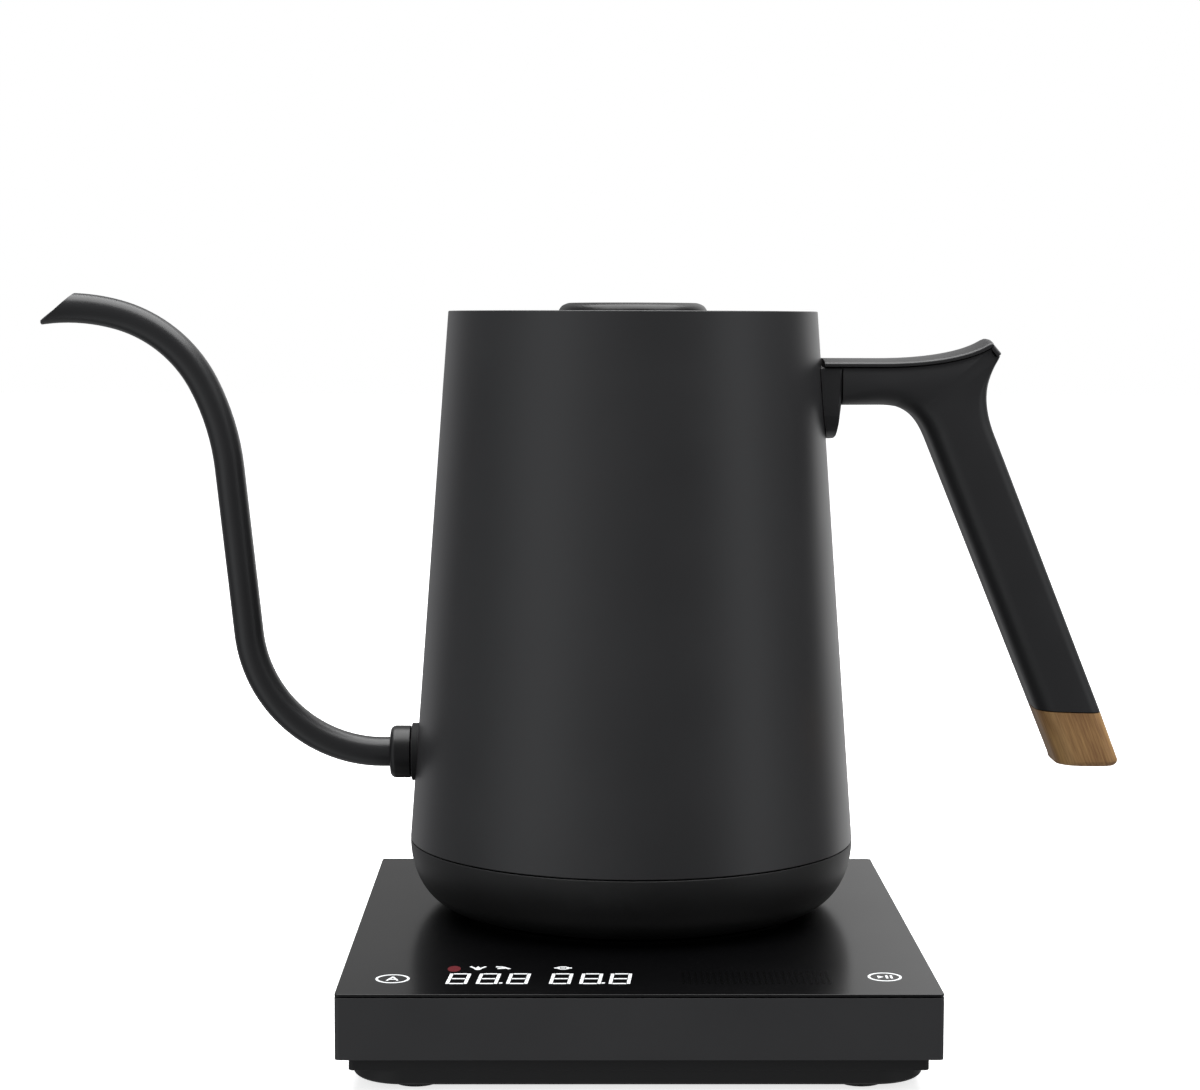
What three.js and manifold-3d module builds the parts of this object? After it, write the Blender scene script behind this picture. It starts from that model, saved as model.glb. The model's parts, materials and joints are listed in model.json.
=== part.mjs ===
// Gooseneck electric kettle on its square heating base, as a three.js scene graph.
// Millimetres, +Z up, +X towards the handle, -Y towards the display.
// The sizes are set here in the base's own frame: its centre on the table is 0, 0, 0.

import * as THREE from "three";
import { mergeVertices } from "three/addons/utils/BufferGeometryUtils.js";
import Module from "manifold-3d";

const wasm = await Module();
wasm.setup();

// ---- Driving dimensions ----

const gap = 0.3; // left between two pieces that touch
const runningGap = 0.6; // left between two pieces that turn or lift past each other

// Base
const baseWidth = 143;
const baseDepth = 156;
const baseCorner = 1.2;
const footDrop = 1.5; // how far the feet stand below the tray
const trayHeight = 6.9;
const trayInset = 3;
const trayRim = 3; // height of the tray's square upper part
const trayStep = 0.3; // how far the round-cornered lower part stands back from it
const trayCorner = 12.5;
const trayWall = 2.2;
const trayEdge = 0.5; // bevel along the tray's bottom
const frameHeight = 14.8;
const frameWall = 2.2;
const flangeWidth = 11;
const flangeThickness = 2;
const plateEdge = 0.6; // edge of the top plate, which laps over the frame
const plateThickness = 2.4;
const footRadius = 6;
const footSeat = 0.8; // depth of the recess each foot is glued in
const footFromSide = 18.5;
const footFromEnd = 12.4;

// Connector between base and kettle
const kettleOffset = 21.6; // kettle's axis behind the base's centre
const hubRadius = 15;
const hubRise = 8.4; // above the top plate
const hubDepth = 12.1; // below the top plate
const socketWall = 4.4;
const pinRadius = 1.8;
const channelRadius = 8.9; // middle of the ring contact's channel
const channelWidth = 3;
const channelDepth = 8.5;

// Kettle
const footClearance = 1; // kettle's underside above the top plate
const cupHeight = 17.3;
const cupFootRadius = 47.7;
const bodyRadius = 59.6; // at the seam, where the kettle is widest
const bodyHeight = 141.4;
const rimRadius = 49.16;
const bodyWall = 1;
const cupWall = 1.8;
const footRingRadius = 45;
const footRingWidth = 3;

// Heater
const elementRadius = 29.5;
const elementTube = 3.2;
const spreaderRadius = 41.5;
const spreaderThickness = 3.5;
const bossCircle = 37.5; // the cup's three screws lie on this radius
const sensorLength = 16;

// Spout
const spoutHeight = 40; // above the kettle's underside
const spoutRadius = 4;
const spoutWall = 0.8;
const collarRadius = 7.05;
const collarReach = 7.1; // from the body wall to the collar's face
const washerWidth = 1.3;

// Lid
const lidDrop = 0.5; // lid's flange below the kettle's rim
const ledgeDepth = 4.3; // from the rim down to the ledge the lid rests on
const ledgeReach = 2.1;
const lidThickness = 2;
const recessDepth = 8.3;
const recessFromRim = 8.16; // from the kettle's rim in to the edge of the lid's recess
const knobRadius = 19.85;
const knobRise = 2.2; // knob's top above the kettle's rim
const linerDepth = 17;

// Handle
const handleDrop = 12.3; // from the rim down to the arm's top
const handleWidth = 22;
const handleBevel = 2;
const coverThickness = 2.1;
const armDepth = 12.3;
const bracketWidth = 21;
const bracketReach = 5.2; // from the body wall to the bracket's face
const bracketDrop = 21.5; // height of the bracket's tongue below the arm's top
const tangLength = 24.5;
const tangThickness = 4;

// ---- Levels and places worked out from them ----

const trayBottom = footDrop;
const frameBottom = trayBottom + trayHeight;
const frameTop = frameBottom + frameHeight;
const baseTop = frameTop + gap + plateEdge;
const plateUnderside = baseTop - plateThickness;
const kettleFoot = baseTop + footClearance;
const seamHeight = kettleFoot + cupHeight;
const rimHeight = seamHeight + bodyHeight;
const armTop = rimHeight - handleDrop;
const hubTop = baseTop + hubRise;
const floorTop = seamHeight + 3.6;

// Outside radius of the tapered body at a height.
function bodyRadiusAt(height) {
  const share = (height - seamHeight) / bodyHeight;
  return bodyRadius + share * (rimRadius - bodyRadius);
}

// ---- Materials ----

function finish(color, roughness, metalness = 0) {
  return { color, roughness, metalness };
}

const powderBlack = finish(0x2e2e30, 0.42);
const matteBlack = finish(0x1e1e1f, 0.6);
const glossBlack = finish(0x141416, 0.15);
const frameBlack = finish(0x2d2d2e, 0.5);
const trayBlack = finish(0x202021, 0.7);
const walnut = finish(0x8f6a3f, 0.5);
const stainless = finish(0xb9bbbd, 0.3, 1);
const castAluminium = finish(0xa7a9ac, 0.5, 1);
const zincSteel = finish(0x9a9da1, 0.4, 1);
const brass = finish(0xb08d4a, 0.35, 1);
const silicone = finish(0x252526, 0.8);
const circuitGreen = finish(0x1f4d33, 0.5);
const moduleGrey = finish(0x3a3b3d, 0.4);
const relayBlue = finish(0x2b4a78, 0.45);
const transformerYellow = finish(0xb99a3a, 0.5);

// ---- Geometry helpers ----

// Joins the shared vertices of a closed geometry, so that only its position is left.
function welded(geometry) {
  const plain = new THREE.BufferGeometry();
  plain.setAttribute("position", geometry.getAttribute("position"));
  if (geometry.index) plain.setIndex(geometry.index);
  return mergeVertices(plain, 1e-4);
}

function toSolid(geometry) {
  const merged = welded(geometry);
  const mesh = new wasm.Mesh({
    numProp: 3,
    vertProperties: merged.getAttribute("position").array,
    triVerts: new Uint32Array(merged.index.array),
  });
  return new wasm.Manifold(mesh);
}

function toGeometry(solid) {
  const mesh = solid.getMesh();
  const geometry = new THREE.BufferGeometry();
  geometry.setAttribute("position", new THREE.BufferAttribute(mesh.vertProperties, 3));
  geometry.setIndex(new THREE.BufferAttribute(mesh.triVerts, 1));
  return geometry;
}

function cut(geometry, ...tools) {
  return toGeometry(tools.reduce((solid, tool) => solid.subtract(toSolid(tool)), toSolid(geometry)));
}

function join(geometry, ...others) {
  return toGeometry(others.reduce((solid, other) => solid.add(toSolid(other)), toSolid(geometry)));
}

function common(geometry, other) {
  return toGeometry(toSolid(geometry).intersect(toSolid(other)));
}

// Turns a profile of [radius, height] points about Z. A profile off the axis closes on itself.
function turned(profile, segments = 32) {
  const points = profile.map(([radius, height]) => new THREE.Vector2(radius, height));
  const first = points[0];
  const last = points[points.length - 1];
  if (first.x > 0 || last.x > 0) points.push(first.clone());
  if (THREE.ShapeUtils.area(points) < 0) points.reverse();
  return new THREE.LatheGeometry(points, segments).rotateX(Math.PI / 2);
}

// A washer-like ring between two radii and two heights.
function ring(inner, outer, bottom, top, segments = 32) {
  return turned([[inner, bottom], [outer, bottom], [outer, top], [inner, top]], segments);
}

// A plain upright rod or disc.
function rod(radius, bottom, top, segments = 16) {
  return turned([[0, bottom], [radius, bottom], [radius, top], [0, top]], segments);
}

// The same rod lying along X.
function rodAlongX(radius, start, end, segments = 16) {
  return rod(radius, start, end, segments).rotateY(Math.PI / 2);
}

function block(x, y, z, width, depth, height) {
  return new THREE.BoxGeometry(width, depth, height).translate(x, y, z + height / 2);
}

function roundedRectangle(width, depth, radius) {
  const x = width / 2 - radius;
  const y = depth / 2 - radius;
  const shape = new THREE.Shape();
  shape.absarc(x, y, radius, 0, Math.PI / 2);
  shape.absarc(-x, y, radius, Math.PI / 2, Math.PI);
  shape.absarc(-x, -y, radius, Math.PI, 1.5 * Math.PI);
  shape.absarc(x, -y, radius, 1.5 * Math.PI, 2 * Math.PI);
  return shape;
}

function slab(shape, bottom, top, curveSegments = 4) {
  const settings = { depth: top - bottom, bevelEnabled: false, curveSegments };
  return new THREE.ExtrudeGeometry(shape, settings).translate(0, 0, bottom);
}

// A slab whose lower edge is rounded off by a bevel.
function slabWithSoftFoot(shape, bottom, top, bevel, curveSegments = 4) {
  const settings = {
    depth: top - bottom,
    bevelThickness: bevel,
    bevelSize: bevel,
    bevelOffset: -bevel,
    bevelSegments: 1,
    curveSegments,
  };
  const soft = new THREE.ExtrudeGeometry(shape, settings).translate(0, 0, bottom + bevel);
  const keep = block(0, 0, bottom - 1, 2 * baseWidth, 2 * baseDepth, top - bottom + 1);
  return common(soft, keep);
}

// Extrudes a shape drawn in X and Z along Y, centred on Y = 0.
function sideExtrusion(shape, width, bevel = 0) {
  const settings = { depth: width - 2 * bevel, bevelEnabled: bevel > 0, curveSegments: 8 };
  if (bevel > 0) {
    settings.bevelThickness = bevel;
    settings.bevelSize = bevel;
    settings.bevelOffset = -bevel;
    settings.bevelSegments = 2;
  }
  return new THREE.ExtrudeGeometry(shape, settings)
    .translate(0, 0, bevel - width / 2)
    .rotateX(Math.PI / 2);
}

function named(name, geometry, look) {
  const mesh = new THREE.Mesh(geometry, new THREE.MeshStandardMaterial(look));
  mesh.name = name;
  return mesh;
}

function placed(mesh, x, y, z = 0) {
  mesh.position.set(x, y, z);
  return mesh;
}

// A pan-head screw that points up, with its head's seat at height 0.
function screwGeometry(shankRadius, length) {
  const headRadius = 2 * shankRadius;
  const headHeight = 1.4 * shankRadius;
  const profile = [
    [0, -headHeight],
    [0.7 * headRadius, -headHeight],
    [headRadius, -0.5 * headHeight],
    [headRadius, 0],
    [shankRadius, 0],
    [shankRadius, length],
    [0, length],
  ];
  return turned(profile, 10);
}

// ---- Base: frame, tray, feet and top plate ----

const trayScrew = { radius: 1.4, x: baseWidth / 2 - 8.7, y: 44, seat: 2.6 };
const footPlaces = [];
const trayScrewPlaces = [];
for (const sideY of [-1, 1]) {
  for (const sideX of [-1, 1]) {
    footPlaces.push([sideX * (baseWidth / 2 - footFromSide), sideY * (baseDepth / 2 - footFromEnd)]);
    trayScrewPlaces.push([sideX * trayScrew.x, sideY * trayScrew.y]);
  }
}

const gland = { x: 0, hole: 3.1, neck: 4.1, flange: 5, flangeThickness: 1.8 };
const glandHeight = plateUnderside - 5.4;

function buildBaseFrame() {
  const outer = roundedRectangle(baseWidth, baseDepth, baseCorner);
  const inside = roundedRectangle(baseWidth - 2 * frameWall, baseDepth - 2 * frameWall, 0.6);
  const opening = roundedRectangle(baseWidth - 2 * flangeWidth, baseDepth - 2 * flangeWidth, 6);
  const glandHole = rod(gland.neck + gap, -1, frameWall + 2)
    .rotateX(-Math.PI / 2)
    .translate(gland.x, baseDepth / 2 - frameWall - 0.5, glandHeight);
  const screwHoles = trayScrewPlaces.map(([x, y]) =>
    rod(trayScrew.radius + gap, frameBottom - 1, frameBottom + flangeThickness + 1, 12).translate(x, y, 0),
  );
  return cut(
    slab(outer, frameBottom, frameTop),
    slab(inside, frameBottom + flangeThickness, frameTop + 1),
    slab(opening, frameBottom - 1, frameTop + 1),
    glandHole,
    ...screwHoles,
  );
}

function buildTopPlate() {
  const full = roundedRectangle(baseWidth, baseDepth, baseCorner);
  const lap = 2 * (frameWall + gap);
  const sunk = roundedRectangle(baseWidth - lap, baseDepth - lap, 0.6);
  const hole = rod(hubRadius + gap, plateUnderside - 1, baseTop + 1, 40).translate(0, kettleOffset, 0);
  const plate = join(slab(full, baseTop - plateEdge, baseTop), slab(sunk, plateUnderside, baseTop - 0.1));
  return cut(plate, hole);
}

const controlBoard = { width: baseWidth - 15, depth: 24, y: -baseDepth / 2 + 17, thickness: 1.6 };
const controlBoardTop = plateUnderside - 5.6;
const controlBoardBottom = controlBoardTop - controlBoard.thickness;
const powerBoard = { width: baseWidth - 43, depth: 80, thickness: 1.6, rise: 2.5 };
const trayFloor = trayBottom + trayWall;
const powerBoardBottom = trayFloor + powerBoard.rise;
const powerBoardTop = powerBoardBottom + powerBoard.thickness;

const trayBossRadius = 4.4;
const postRadius = 2.5;
const displayPostX = 25;

function buildBaseTray() {
  const width = baseWidth - 2 * trayInset;
  const depth = baseDepth - 2 * trayInset;
  const top = frameBottom - gap;
  const hollow = roundedRectangle(width - 2 * trayWall, depth - 2 * trayWall, trayCorner - trayWall);
  const lower = roundedRectangle(width - 2 * trayStep, depth - 2 * trayStep, trayCorner);
  const shell = cut(
    join(
      slabWithSoftFoot(lower, trayBottom, top - 1, trayEdge, 10),
      slab(roundedRectangle(width, depth, baseCorner), top - trayRim, top),
    ),
    slab(hollow, trayFloor, top + 1, 4),
  );
  const bosses = trayScrewPlaces.map(([x, y]) =>
    rod(trayBossRadius, trayFloor - 0.5, top, 16).translate(x, y, 0),
  );
  const displayPosts = [-1, 1].map((side) => {
    const post = rod(postRadius, trayFloor - 0.5, controlBoardBottom - gap, 12);
    return post.translate(displayPostX * side, controlBoard.y, 0);
  });
  const powerPosts = [];
  for (const sideX of [-1, 1]) {
    for (const sideY of [-1, 1]) {
      const x = sideX * (powerBoard.width / 2 - 5);
      const y = kettleOffset + sideY * (powerBoard.depth / 2 - 5);
      powerPosts.push(rod(postRadius, trayFloor - 0.5, powerBoardBottom - gap, 12).translate(x, y, 0));
    }
  }
  const holes = trayScrewPlaces.map(([x, y]) =>
    join(
      rod(trayScrew.radius + gap, trayBottom - 1, top + 1, 12),
      rod(2 * trayScrew.radius + gap, trayBottom - 1, trayBottom + trayScrew.seat, 16),
    ).translate(x, y, 0),
  );
  const footSeats = footPlaces.map(([x, y]) =>
    rod(footRadius + gap, trayBottom - 1, trayBottom + footSeat, 24).translate(x, y, 0),
  );
  return cut(join(shell, ...bosses, ...displayPosts, ...powerPosts), ...holes, ...footSeats);
}

// A shallow rubber pad that stands on height 0.
function buildFoot() {
  const top = trayBottom + footSeat - gap;
  const profile = [
    [0, 0],
    [footRadius - 1, 0],
    [footRadius, 0.7],
    [footRadius, top],
    [0, top],
  ];
  return turned(profile, 24);
}

function buildGland() {
  const wallOutside = baseDepth / 2;
  const wallInside = wallOutside - frameWall;
  const profile = [
    [gland.hole, wallInside - gap - gland.flangeThickness],
    [gland.flange, wallInside - gap - gland.flangeThickness],
    [gland.flange, wallInside - gap],
    [gland.neck, wallInside - gap],
    [gland.neck, wallOutside + gap],
    [gland.flange, wallOutside + gap],
    [gland.flange, wallOutside + gap + 0.8],
    [gland.flange - 0.8, wallOutside + gap + gland.flangeThickness],
    [gland.hole, wallOutside + gap + gland.flangeThickness],
  ];
  return turned(profile, 24).rotateX(-Math.PI / 2);
}

function buildCasing() {
  const group = new THREE.Group();
  group.add(named("base_frame", buildBaseFrame(), frameBlack));
  group.add(named("top_plate", buildTopPlate(), glossBlack));
  group.add(named("base_tray", buildBaseTray(), trayBlack));
  group.add(placed(named("cord_gland", buildGland(), silicone), gland.x, 0, glandHeight));
  footPlaces.forEach(([x, y], i) => {
    group.add(placed(named(`foot_${i + 1}`, buildFoot(), silicone), x, y));
  });
  const seat = trayBottom + trayScrew.seat - gap;
  const length = frameBottom + flangeThickness - seat;
  trayScrewPlaces.forEach(([x, y], i) => {
    const screw = named(`tray_screw_${i + 1}`, screwGeometry(trayScrew.radius, length), zincSteel);
    group.add(placed(screw, x, y, seat));
  });
  return group;
}

// ---- Base: electronics ----

function buildControlBoard() {
  const bottom = controlBoardBottom;
  return block(0, controlBoard.y, bottom, controlBoard.width, controlBoard.depth, controlBoard.thickness);
}

function buildElectronics() {
  const group = new THREE.Group();
  group.add(named("control_board", buildControlBoard(), circuitGreen));

  const low = controlBoardTop + gap;
  const height = plateUnderside - gap - low;
  const display = { x: -0.163 * baseWidth, width: 0.35 * baseWidth, depth: 20 };
  const touchX = baseWidth / 2 - 12.5;
  const touchY = controlBoard.y - 1.5;
  const slider = { x: 0.207 * baseWidth, width: 0.245 * baseWidth, depth: 15 };
  const displayModule = block(display.x, controlBoard.y + 0.5, low, display.width, display.depth, height);
  group.add(named("display_module", displayModule, moduleGrey));
  for (const [name, side] of [["touch_pad_left", -1], ["touch_pad_right", 1]]) {
    group.add(placed(named(name, rod(4.1, low, low + height, 24), zincSteel), side * touchX, touchY));
  }
  const sliderPad = block(slider.x, controlBoard.y, low, slider.width, slider.depth, height);
  group.add(named("slider_pad", sliderPad, moduleGrey));
  const buzzer = rod(4.5, controlBoardBottom - gap - 4.5, controlBoardBottom - gap);
  group.add(placed(named("buzzer", buzzer, matteBlack), -42, controlBoard.y));

  const board = block(0, kettleOffset, powerBoardBottom, powerBoard.width, powerBoard.depth, powerBoard.thickness);
  group.add(named("power_board", board, circuitGreen));
  const onBoard = powerBoardTop + gap;
  const onBoardX = powerBoard.width / 2 - 14;
  const transformer = block(-onBoardX, kettleOffset - 28, onBoard, 18, 16, 12);
  group.add(named("transformer", transformer, transformerYellow));
  const relay = block(onBoardX, kettleOffset + 27, onBoard, 16, 20, 12.4);
  group.add(named("relay", relay, relayBlue));
  return group;
}

// ---- Connector: hub on the base, socket on the kettle ----

function buildHub() {
  const bottom = baseTop - hubDepth;
  const inner = channelRadius - channelWidth / 2;
  const outer = channelRadius + channelWidth / 2;
  const channelFloor = hubTop - channelDepth;
  const flangeTop = plateUnderside - gap;
  const bore = pinRadius + runningGap;
  const profile = [
    [0, bottom],
    [hubRadius, bottom],
    [hubRadius, flangeTop - 2.2],
    [hubRadius + 7, flangeTop - 2.2],
    [hubRadius + 7, flangeTop],
    [hubRadius, flangeTop],
    [hubRadius, hubTop - 1],
    [hubRadius - 1, hubTop],
    [outer, hubTop],
    [outer, channelFloor],
    [inner, channelFloor],
    [inner, hubTop],
    [bore, hubTop],
    [bore, bottom + 3],
    [0, bottom + 3],
  ];
  return turned(profile, 24);
}

const socketCeiling = hubTop + gap;
const socketTop = socketCeiling + 3.4;
const socketRadius = hubRadius + runningGap + socketWall;
const contactSeat = 2; // how deep the pin and the ring sit in the socket

function buildSocket() {
  const flange = socketRadius + 3.5;
  const profile = [
    [0, socketCeiling],
    [hubRadius + runningGap, socketCeiling],
    [hubRadius + runningGap, kettleFoot],
    [socketRadius, kettleFoot],
    [socketRadius, socketTop - 2.4],
    [flange, socketTop - 2.4],
    [flange, socketTop],
    [0, socketTop],
  ];
  const slotWidth = channelWidth / 2 - runningGap / 2;
  const bottom = socketCeiling - 1;
  const top = socketCeiling + contactSeat;
  return cut(
    turned(profile, 24),
    rod(pinRadius + gap, bottom, top, 20),
    ring(channelRadius - slotWidth / 2 - gap, channelRadius + slotWidth / 2 + gap, bottom, top, 24),
  );
}

function buildConnectorBase() {
  const group = new THREE.Group();
  const channelFloor = hubTop - channelDepth;
  const ringHalf = channelWidth / 2 - gap;
  const boreFloor = baseTop - hubDepth + 3;
  const hubRing = ring(
    channelRadius - ringHalf,
    channelRadius + ringHalf,
    channelFloor + gap,
    channelFloor + gap + 1.2,
    24,
  );
  group.add(named("connector_hub", buildHub(), matteBlack));
  group.add(named("hub_contact_ring", hubRing, brass));
  group.add(named("hub_contact_button", rod(pinRadius, boreFloor + gap, boreFloor + 2, 20), brass));
  return group;
}

function buildConnectorSocket() {
  const group = new THREE.Group();
  const top = socketCeiling + contactSeat - gap;
  const ringBottom = hubTop - channelDepth + 2 * gap + 1.2;
  const pinBottom = baseTop - hubDepth + 5 + gap;
  const slotWidth = channelWidth / 2 - runningGap / 2;
  const inner = channelRadius - slotWidth / 2;
  const outer = channelRadius + slotWidth / 2;
  group.add(named("kettle_socket", buildSocket(), matteBlack));
  group.add(named("socket_pin", rod(pinRadius, pinBottom, top, 20), brass));
  group.add(named("socket_contact_ring", ring(inner, outer, ringBottom, top, 24), brass));
  return group;
}

// ---- Kettle: body, cup and heater ----

const spoutAxis = kettleFoot + spoutHeight;
const spoutRoot = bodyRadiusAt(spoutAxis); // body wall at the spout, before it is turned to -X

function buildBodyShell() {
  const bottom = seamHeight + gap / 2;
  const ledgeTop = rimHeight - ledgeDepth;
  const ledgeBottom = ledgeTop - 1.6;
  const innerAt = (height) => bodyRadiusAt(height) - bodyWall;
  const profile = [
    [bodyRadiusAt(bottom), bottom],
    [bodyRadiusAt(rimHeight - 0.3), rimHeight - 0.3],
    [rimRadius - 0.3, rimHeight],
    [rimRadius - bodyWall, rimHeight],
    [innerAt(ledgeTop), ledgeTop],
    [innerAt(ledgeTop) - ledgeReach, ledgeTop],
    [innerAt(ledgeTop) - ledgeReach, ledgeBottom],
    [innerAt(ledgeBottom - 1), ledgeBottom - 1],
    [innerAt(bottom), bottom],
  ];
  const spoutHole = rodAlongX(spoutRadius + gap, -bodyRadius - 5, -bodyRadius / 2).translate(0, 0, spoutAxis);
  return cut(turned(profile, 40), spoutHole);
}

function buildVesselFloor() {
  const edge = bodyRadiusAt(floorTop) - bodyWall - gap;
  const profile = [
    [0, floorTop - 1],
    [edge - 1.5, floorTop - 1],
    [edge - 1, floorTop - 3],
    [edge, floorTop - 3],
    [edge, floorTop],
    [0, floorTop],
  ];
  const sensorHole = rod(sensor.radius + gap, floorTop - 2, floorTop + 1, 16).translate(sensor.x, sensor.y, 0);
  return cut(turned(profile), sensorHole);
}

// The cup's outside is a quarter of an ellipse from its flat foot up to the seam.
function cupCurve(inset, steps) {
  const points = [];
  const reach = bodyRadius - cupFootRadius - inset;
  const rise = cupHeight - inset;
  for (let i = 0; i <= steps; i++) {
    const angle = ((i / steps) * Math.PI) / 2;
    points.push([cupFootRadius + reach * Math.sin(angle), seamHeight - rise * Math.cos(angle)]);
  }
  return points;
}

const spreaderTop = floorTop - 1 - gap;
const spreaderBottom = spreaderTop - spreaderThickness;
const lugDrop = 2.9; // screw lugs cast under the spreader
const bossTop = spreaderBottom - lugDrop - gap;
const cupScrew = { radius: 1.4, seat: 2.6, count: 3, firstAngle: Math.PI / 2 };
const sensor = { radius: 2.5, x: 6, y: -13 };
const cutout = { radius: 7, height: 4.2, x: -15, y: 4 };

function aroundBossCircle(geometry) {
  return Array.from({ length: cupScrew.count }, (_, i) => {
    const angle = cupScrew.firstAngle + (i * 2 * Math.PI) / cupScrew.count;
    return geometry.clone().translate(bossCircle * Math.cos(angle), bossCircle * Math.sin(angle), 0);
  });
}

function buildBottomCup() {
  const opening = socketRadius + runningGap;
  const top = seamHeight - gap / 2;
  const outside = cupCurve(0, 7).filter(([, height]) => height < top);
  const inside = cupCurve(cupWall, 5).filter(([, height]) => height < top);
  const profile = [
    [opening, kettleFoot],
    ...outside,
    [bodyRadius, top],
    [bodyRadius - cupWall, top],
    ...inside.reverse(),
    [opening, kettleFoot + cupWall],
  ];
  const bosses = aroundBossCircle(rod(3.9, kettleFoot + 1, bossTop, 16));
  const groove = ring(
    footRingRadius - footRingWidth / 2 - gap,
    footRingRadius + footRingWidth / 2 + gap,
    kettleFoot - 1,
    kettleFoot + 1,
  );
  const holes = aroundBossCircle(
    join(
      rod(cupScrew.radius + gap, kettleFoot - 1, bossTop + 1, 12),
      rod(2 * cupScrew.radius + gap, kettleFoot - 1, kettleFoot + cupScrew.seat, 16),
    ),
  );
  return cut(join(turned(profile, 40), ...bosses), groove, ...holes);
}

function buildSpreader() {
  const lugs = aroundBossCircle(rod(3.6, bossTop + gap, spreaderTop - 1, 16));
  const threads = aroundBossCircle(rod(cupScrew.radius + gap, bossTop - 1, spreaderTop - 1, 12));
  const sensorHole = rod(sensor.radius + 2 + gap, spreaderBottom - 1, spreaderTop + 1, 20);
  const plate = join(rod(spreaderRadius, spreaderBottom, spreaderTop, 32), ...lugs);
  return cut(plate, ...threads, sensorHole.translate(sensor.x, sensor.y, 0));
}

// The arc of the heating element, open by a sixth of a turn on the spout's side.
class ElementArc extends THREE.Curve {
  getPoint(t, target = new THREE.Vector3()) {
    const angle = Math.PI + Math.PI / 6 + t * ((2 * Math.PI * 5) / 6);
    return target.set(elementRadius * Math.cos(angle), elementRadius * Math.sin(angle), 0);
  }
}

function buildElement() {
  const section = new THREE.Shape();
  section.absarc(0, 0, elementTube, 0, 2 * Math.PI);
  const settings = { steps: 24, curveSegments: 4, bevelEnabled: false, extrudePath: new ElementArc() };
  return new THREE.ExtrudeGeometry(section, settings);
}

function buildHeater() {
  const group = new THREE.Group();
  const elementHeight = spreaderBottom - gap - elementTube;
  group.add(named("vessel_floor", buildVesselFloor(), stainless));
  group.add(named("heat_spreader", buildSpreader(), castAluminium));
  group.add(placed(named("heating_element", buildElement(), stainless), 0, 0, elementHeight));
  [-1, 1].forEach((side, i) => {
    const angle = Math.PI + (side * Math.PI) / 5.2;
    const terminal = rod(1.5, elementHeight - elementTube - gap - 5, elementHeight - elementTube - gap, 12);
    const mesh = named(`element_terminal_${i + 1}`, terminal, zincSteel);
    group.add(placed(mesh, elementRadius * Math.cos(angle), elementRadius * Math.sin(angle)));
  });
  const tip = floorTop + sensorLength / 2;
  const probe = [
    [0, tip - sensorLength],
    [sensor.radius, tip - sensorLength],
    [sensor.radius, tip - 1],
    [sensor.radius - 1, tip],
    [0, tip],
  ];
  const seal = ring(sensor.radius + gap, sensor.radius + 2, spreaderBottom, spreaderTop, 20);
  group.add(placed(named("temperature_sensor", turned(probe, 20), stainless), sensor.x, sensor.y));
  group.add(placed(named("sensor_seal", seal, silicone), sensor.x, sensor.y));
  const disc = rod(cutout.radius, spreaderBottom - gap - cutout.height, spreaderBottom - gap, 24);
  group.add(placed(named("thermal_cutout", disc, zincSteel), cutout.x, cutout.y));
  return group;
}

function buildVessel() {
  const group = new THREE.Group();
  group.add(named("body_shell", buildBodyShell(), powderBlack));
  group.add(named("bottom_cup", buildBottomCup(), matteBlack));
  const footRing = ring(
    footRingRadius - footRingWidth / 2,
    footRingRadius + footRingWidth / 2,
    baseTop + gap,
    kettleFoot + 1 - gap,
  );
  group.add(named("foot_ring", footRing, silicone));
  const seat = kettleFoot + cupScrew.seat - gap;
  const length = spreaderBottom - seat;
  aroundBossCircle(screwGeometry(cupScrew.radius, length)).forEach((geometry, i) => {
    group.add(placed(named(`cup_screw_${i + 1}`, geometry, zincSteel), 0, 0, seat));
  });
  group.add(buildHeater());
  return group;
}

// ---- Spout ----

// The tube as a bender makes it: straights, and bends given by radius and turn upwards.
const spoutBends = [
  { straight: 5.9 }, // from inside the vessel to the body wall
  { straight: 9.3 }, // out through the collar
  { radius: 36, turn: 83.8 },
  { straight: 44.8 },
  { radius: 64.5, turn: -20.8 },
  { radius: 36.25, turn: -47.7 },
  { radius: 50, turn: -22.8 },
  { straight: 1.1 },
];
const lipAngle = 42.4; // slope of the cut across the mouth, from the horizontal

// A plane curve that follows a list of bends at even speed, starting along -X.
class BentLine extends THREE.Curve {
  constructor(bends) {
    super();
    this.bends = bends.map((bend) => ({
      ...bend,
      length: bend.straight ?? bend.radius * THREE.MathUtils.degToRad(Math.abs(bend.turn)),
    }));
    this.total = this.bends.reduce((sum, bend) => sum + bend.length, 0);
  }

  getPoint(t, target = new THREE.Vector3()) {
    let left = t * this.total;
    let heading = 0;
    let x = 0;
    let z = 0;
    for (const bend of this.bends) {
      const run = Math.min(left, bend.length);
      if (bend.straight !== undefined) {
        x -= run * Math.cos(heading);
        z += run * Math.sin(heading);
      } else {
        const next = heading + (Math.sign(bend.turn) * run) / bend.radius;
        x -= bend.radius * Math.abs(Math.sin(next) - Math.sin(heading));
        z += bend.radius * Math.abs(Math.cos(heading) - Math.cos(next));
        heading = next;
      }
      left -= run;
      if (left <= 0) break;
    }
    return target.set(x, 0, z);
  }
}

const spoutLine = new BentLine(spoutBends);
const spoutStart = -spoutRoot + spoutBends[0].straight;

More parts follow.
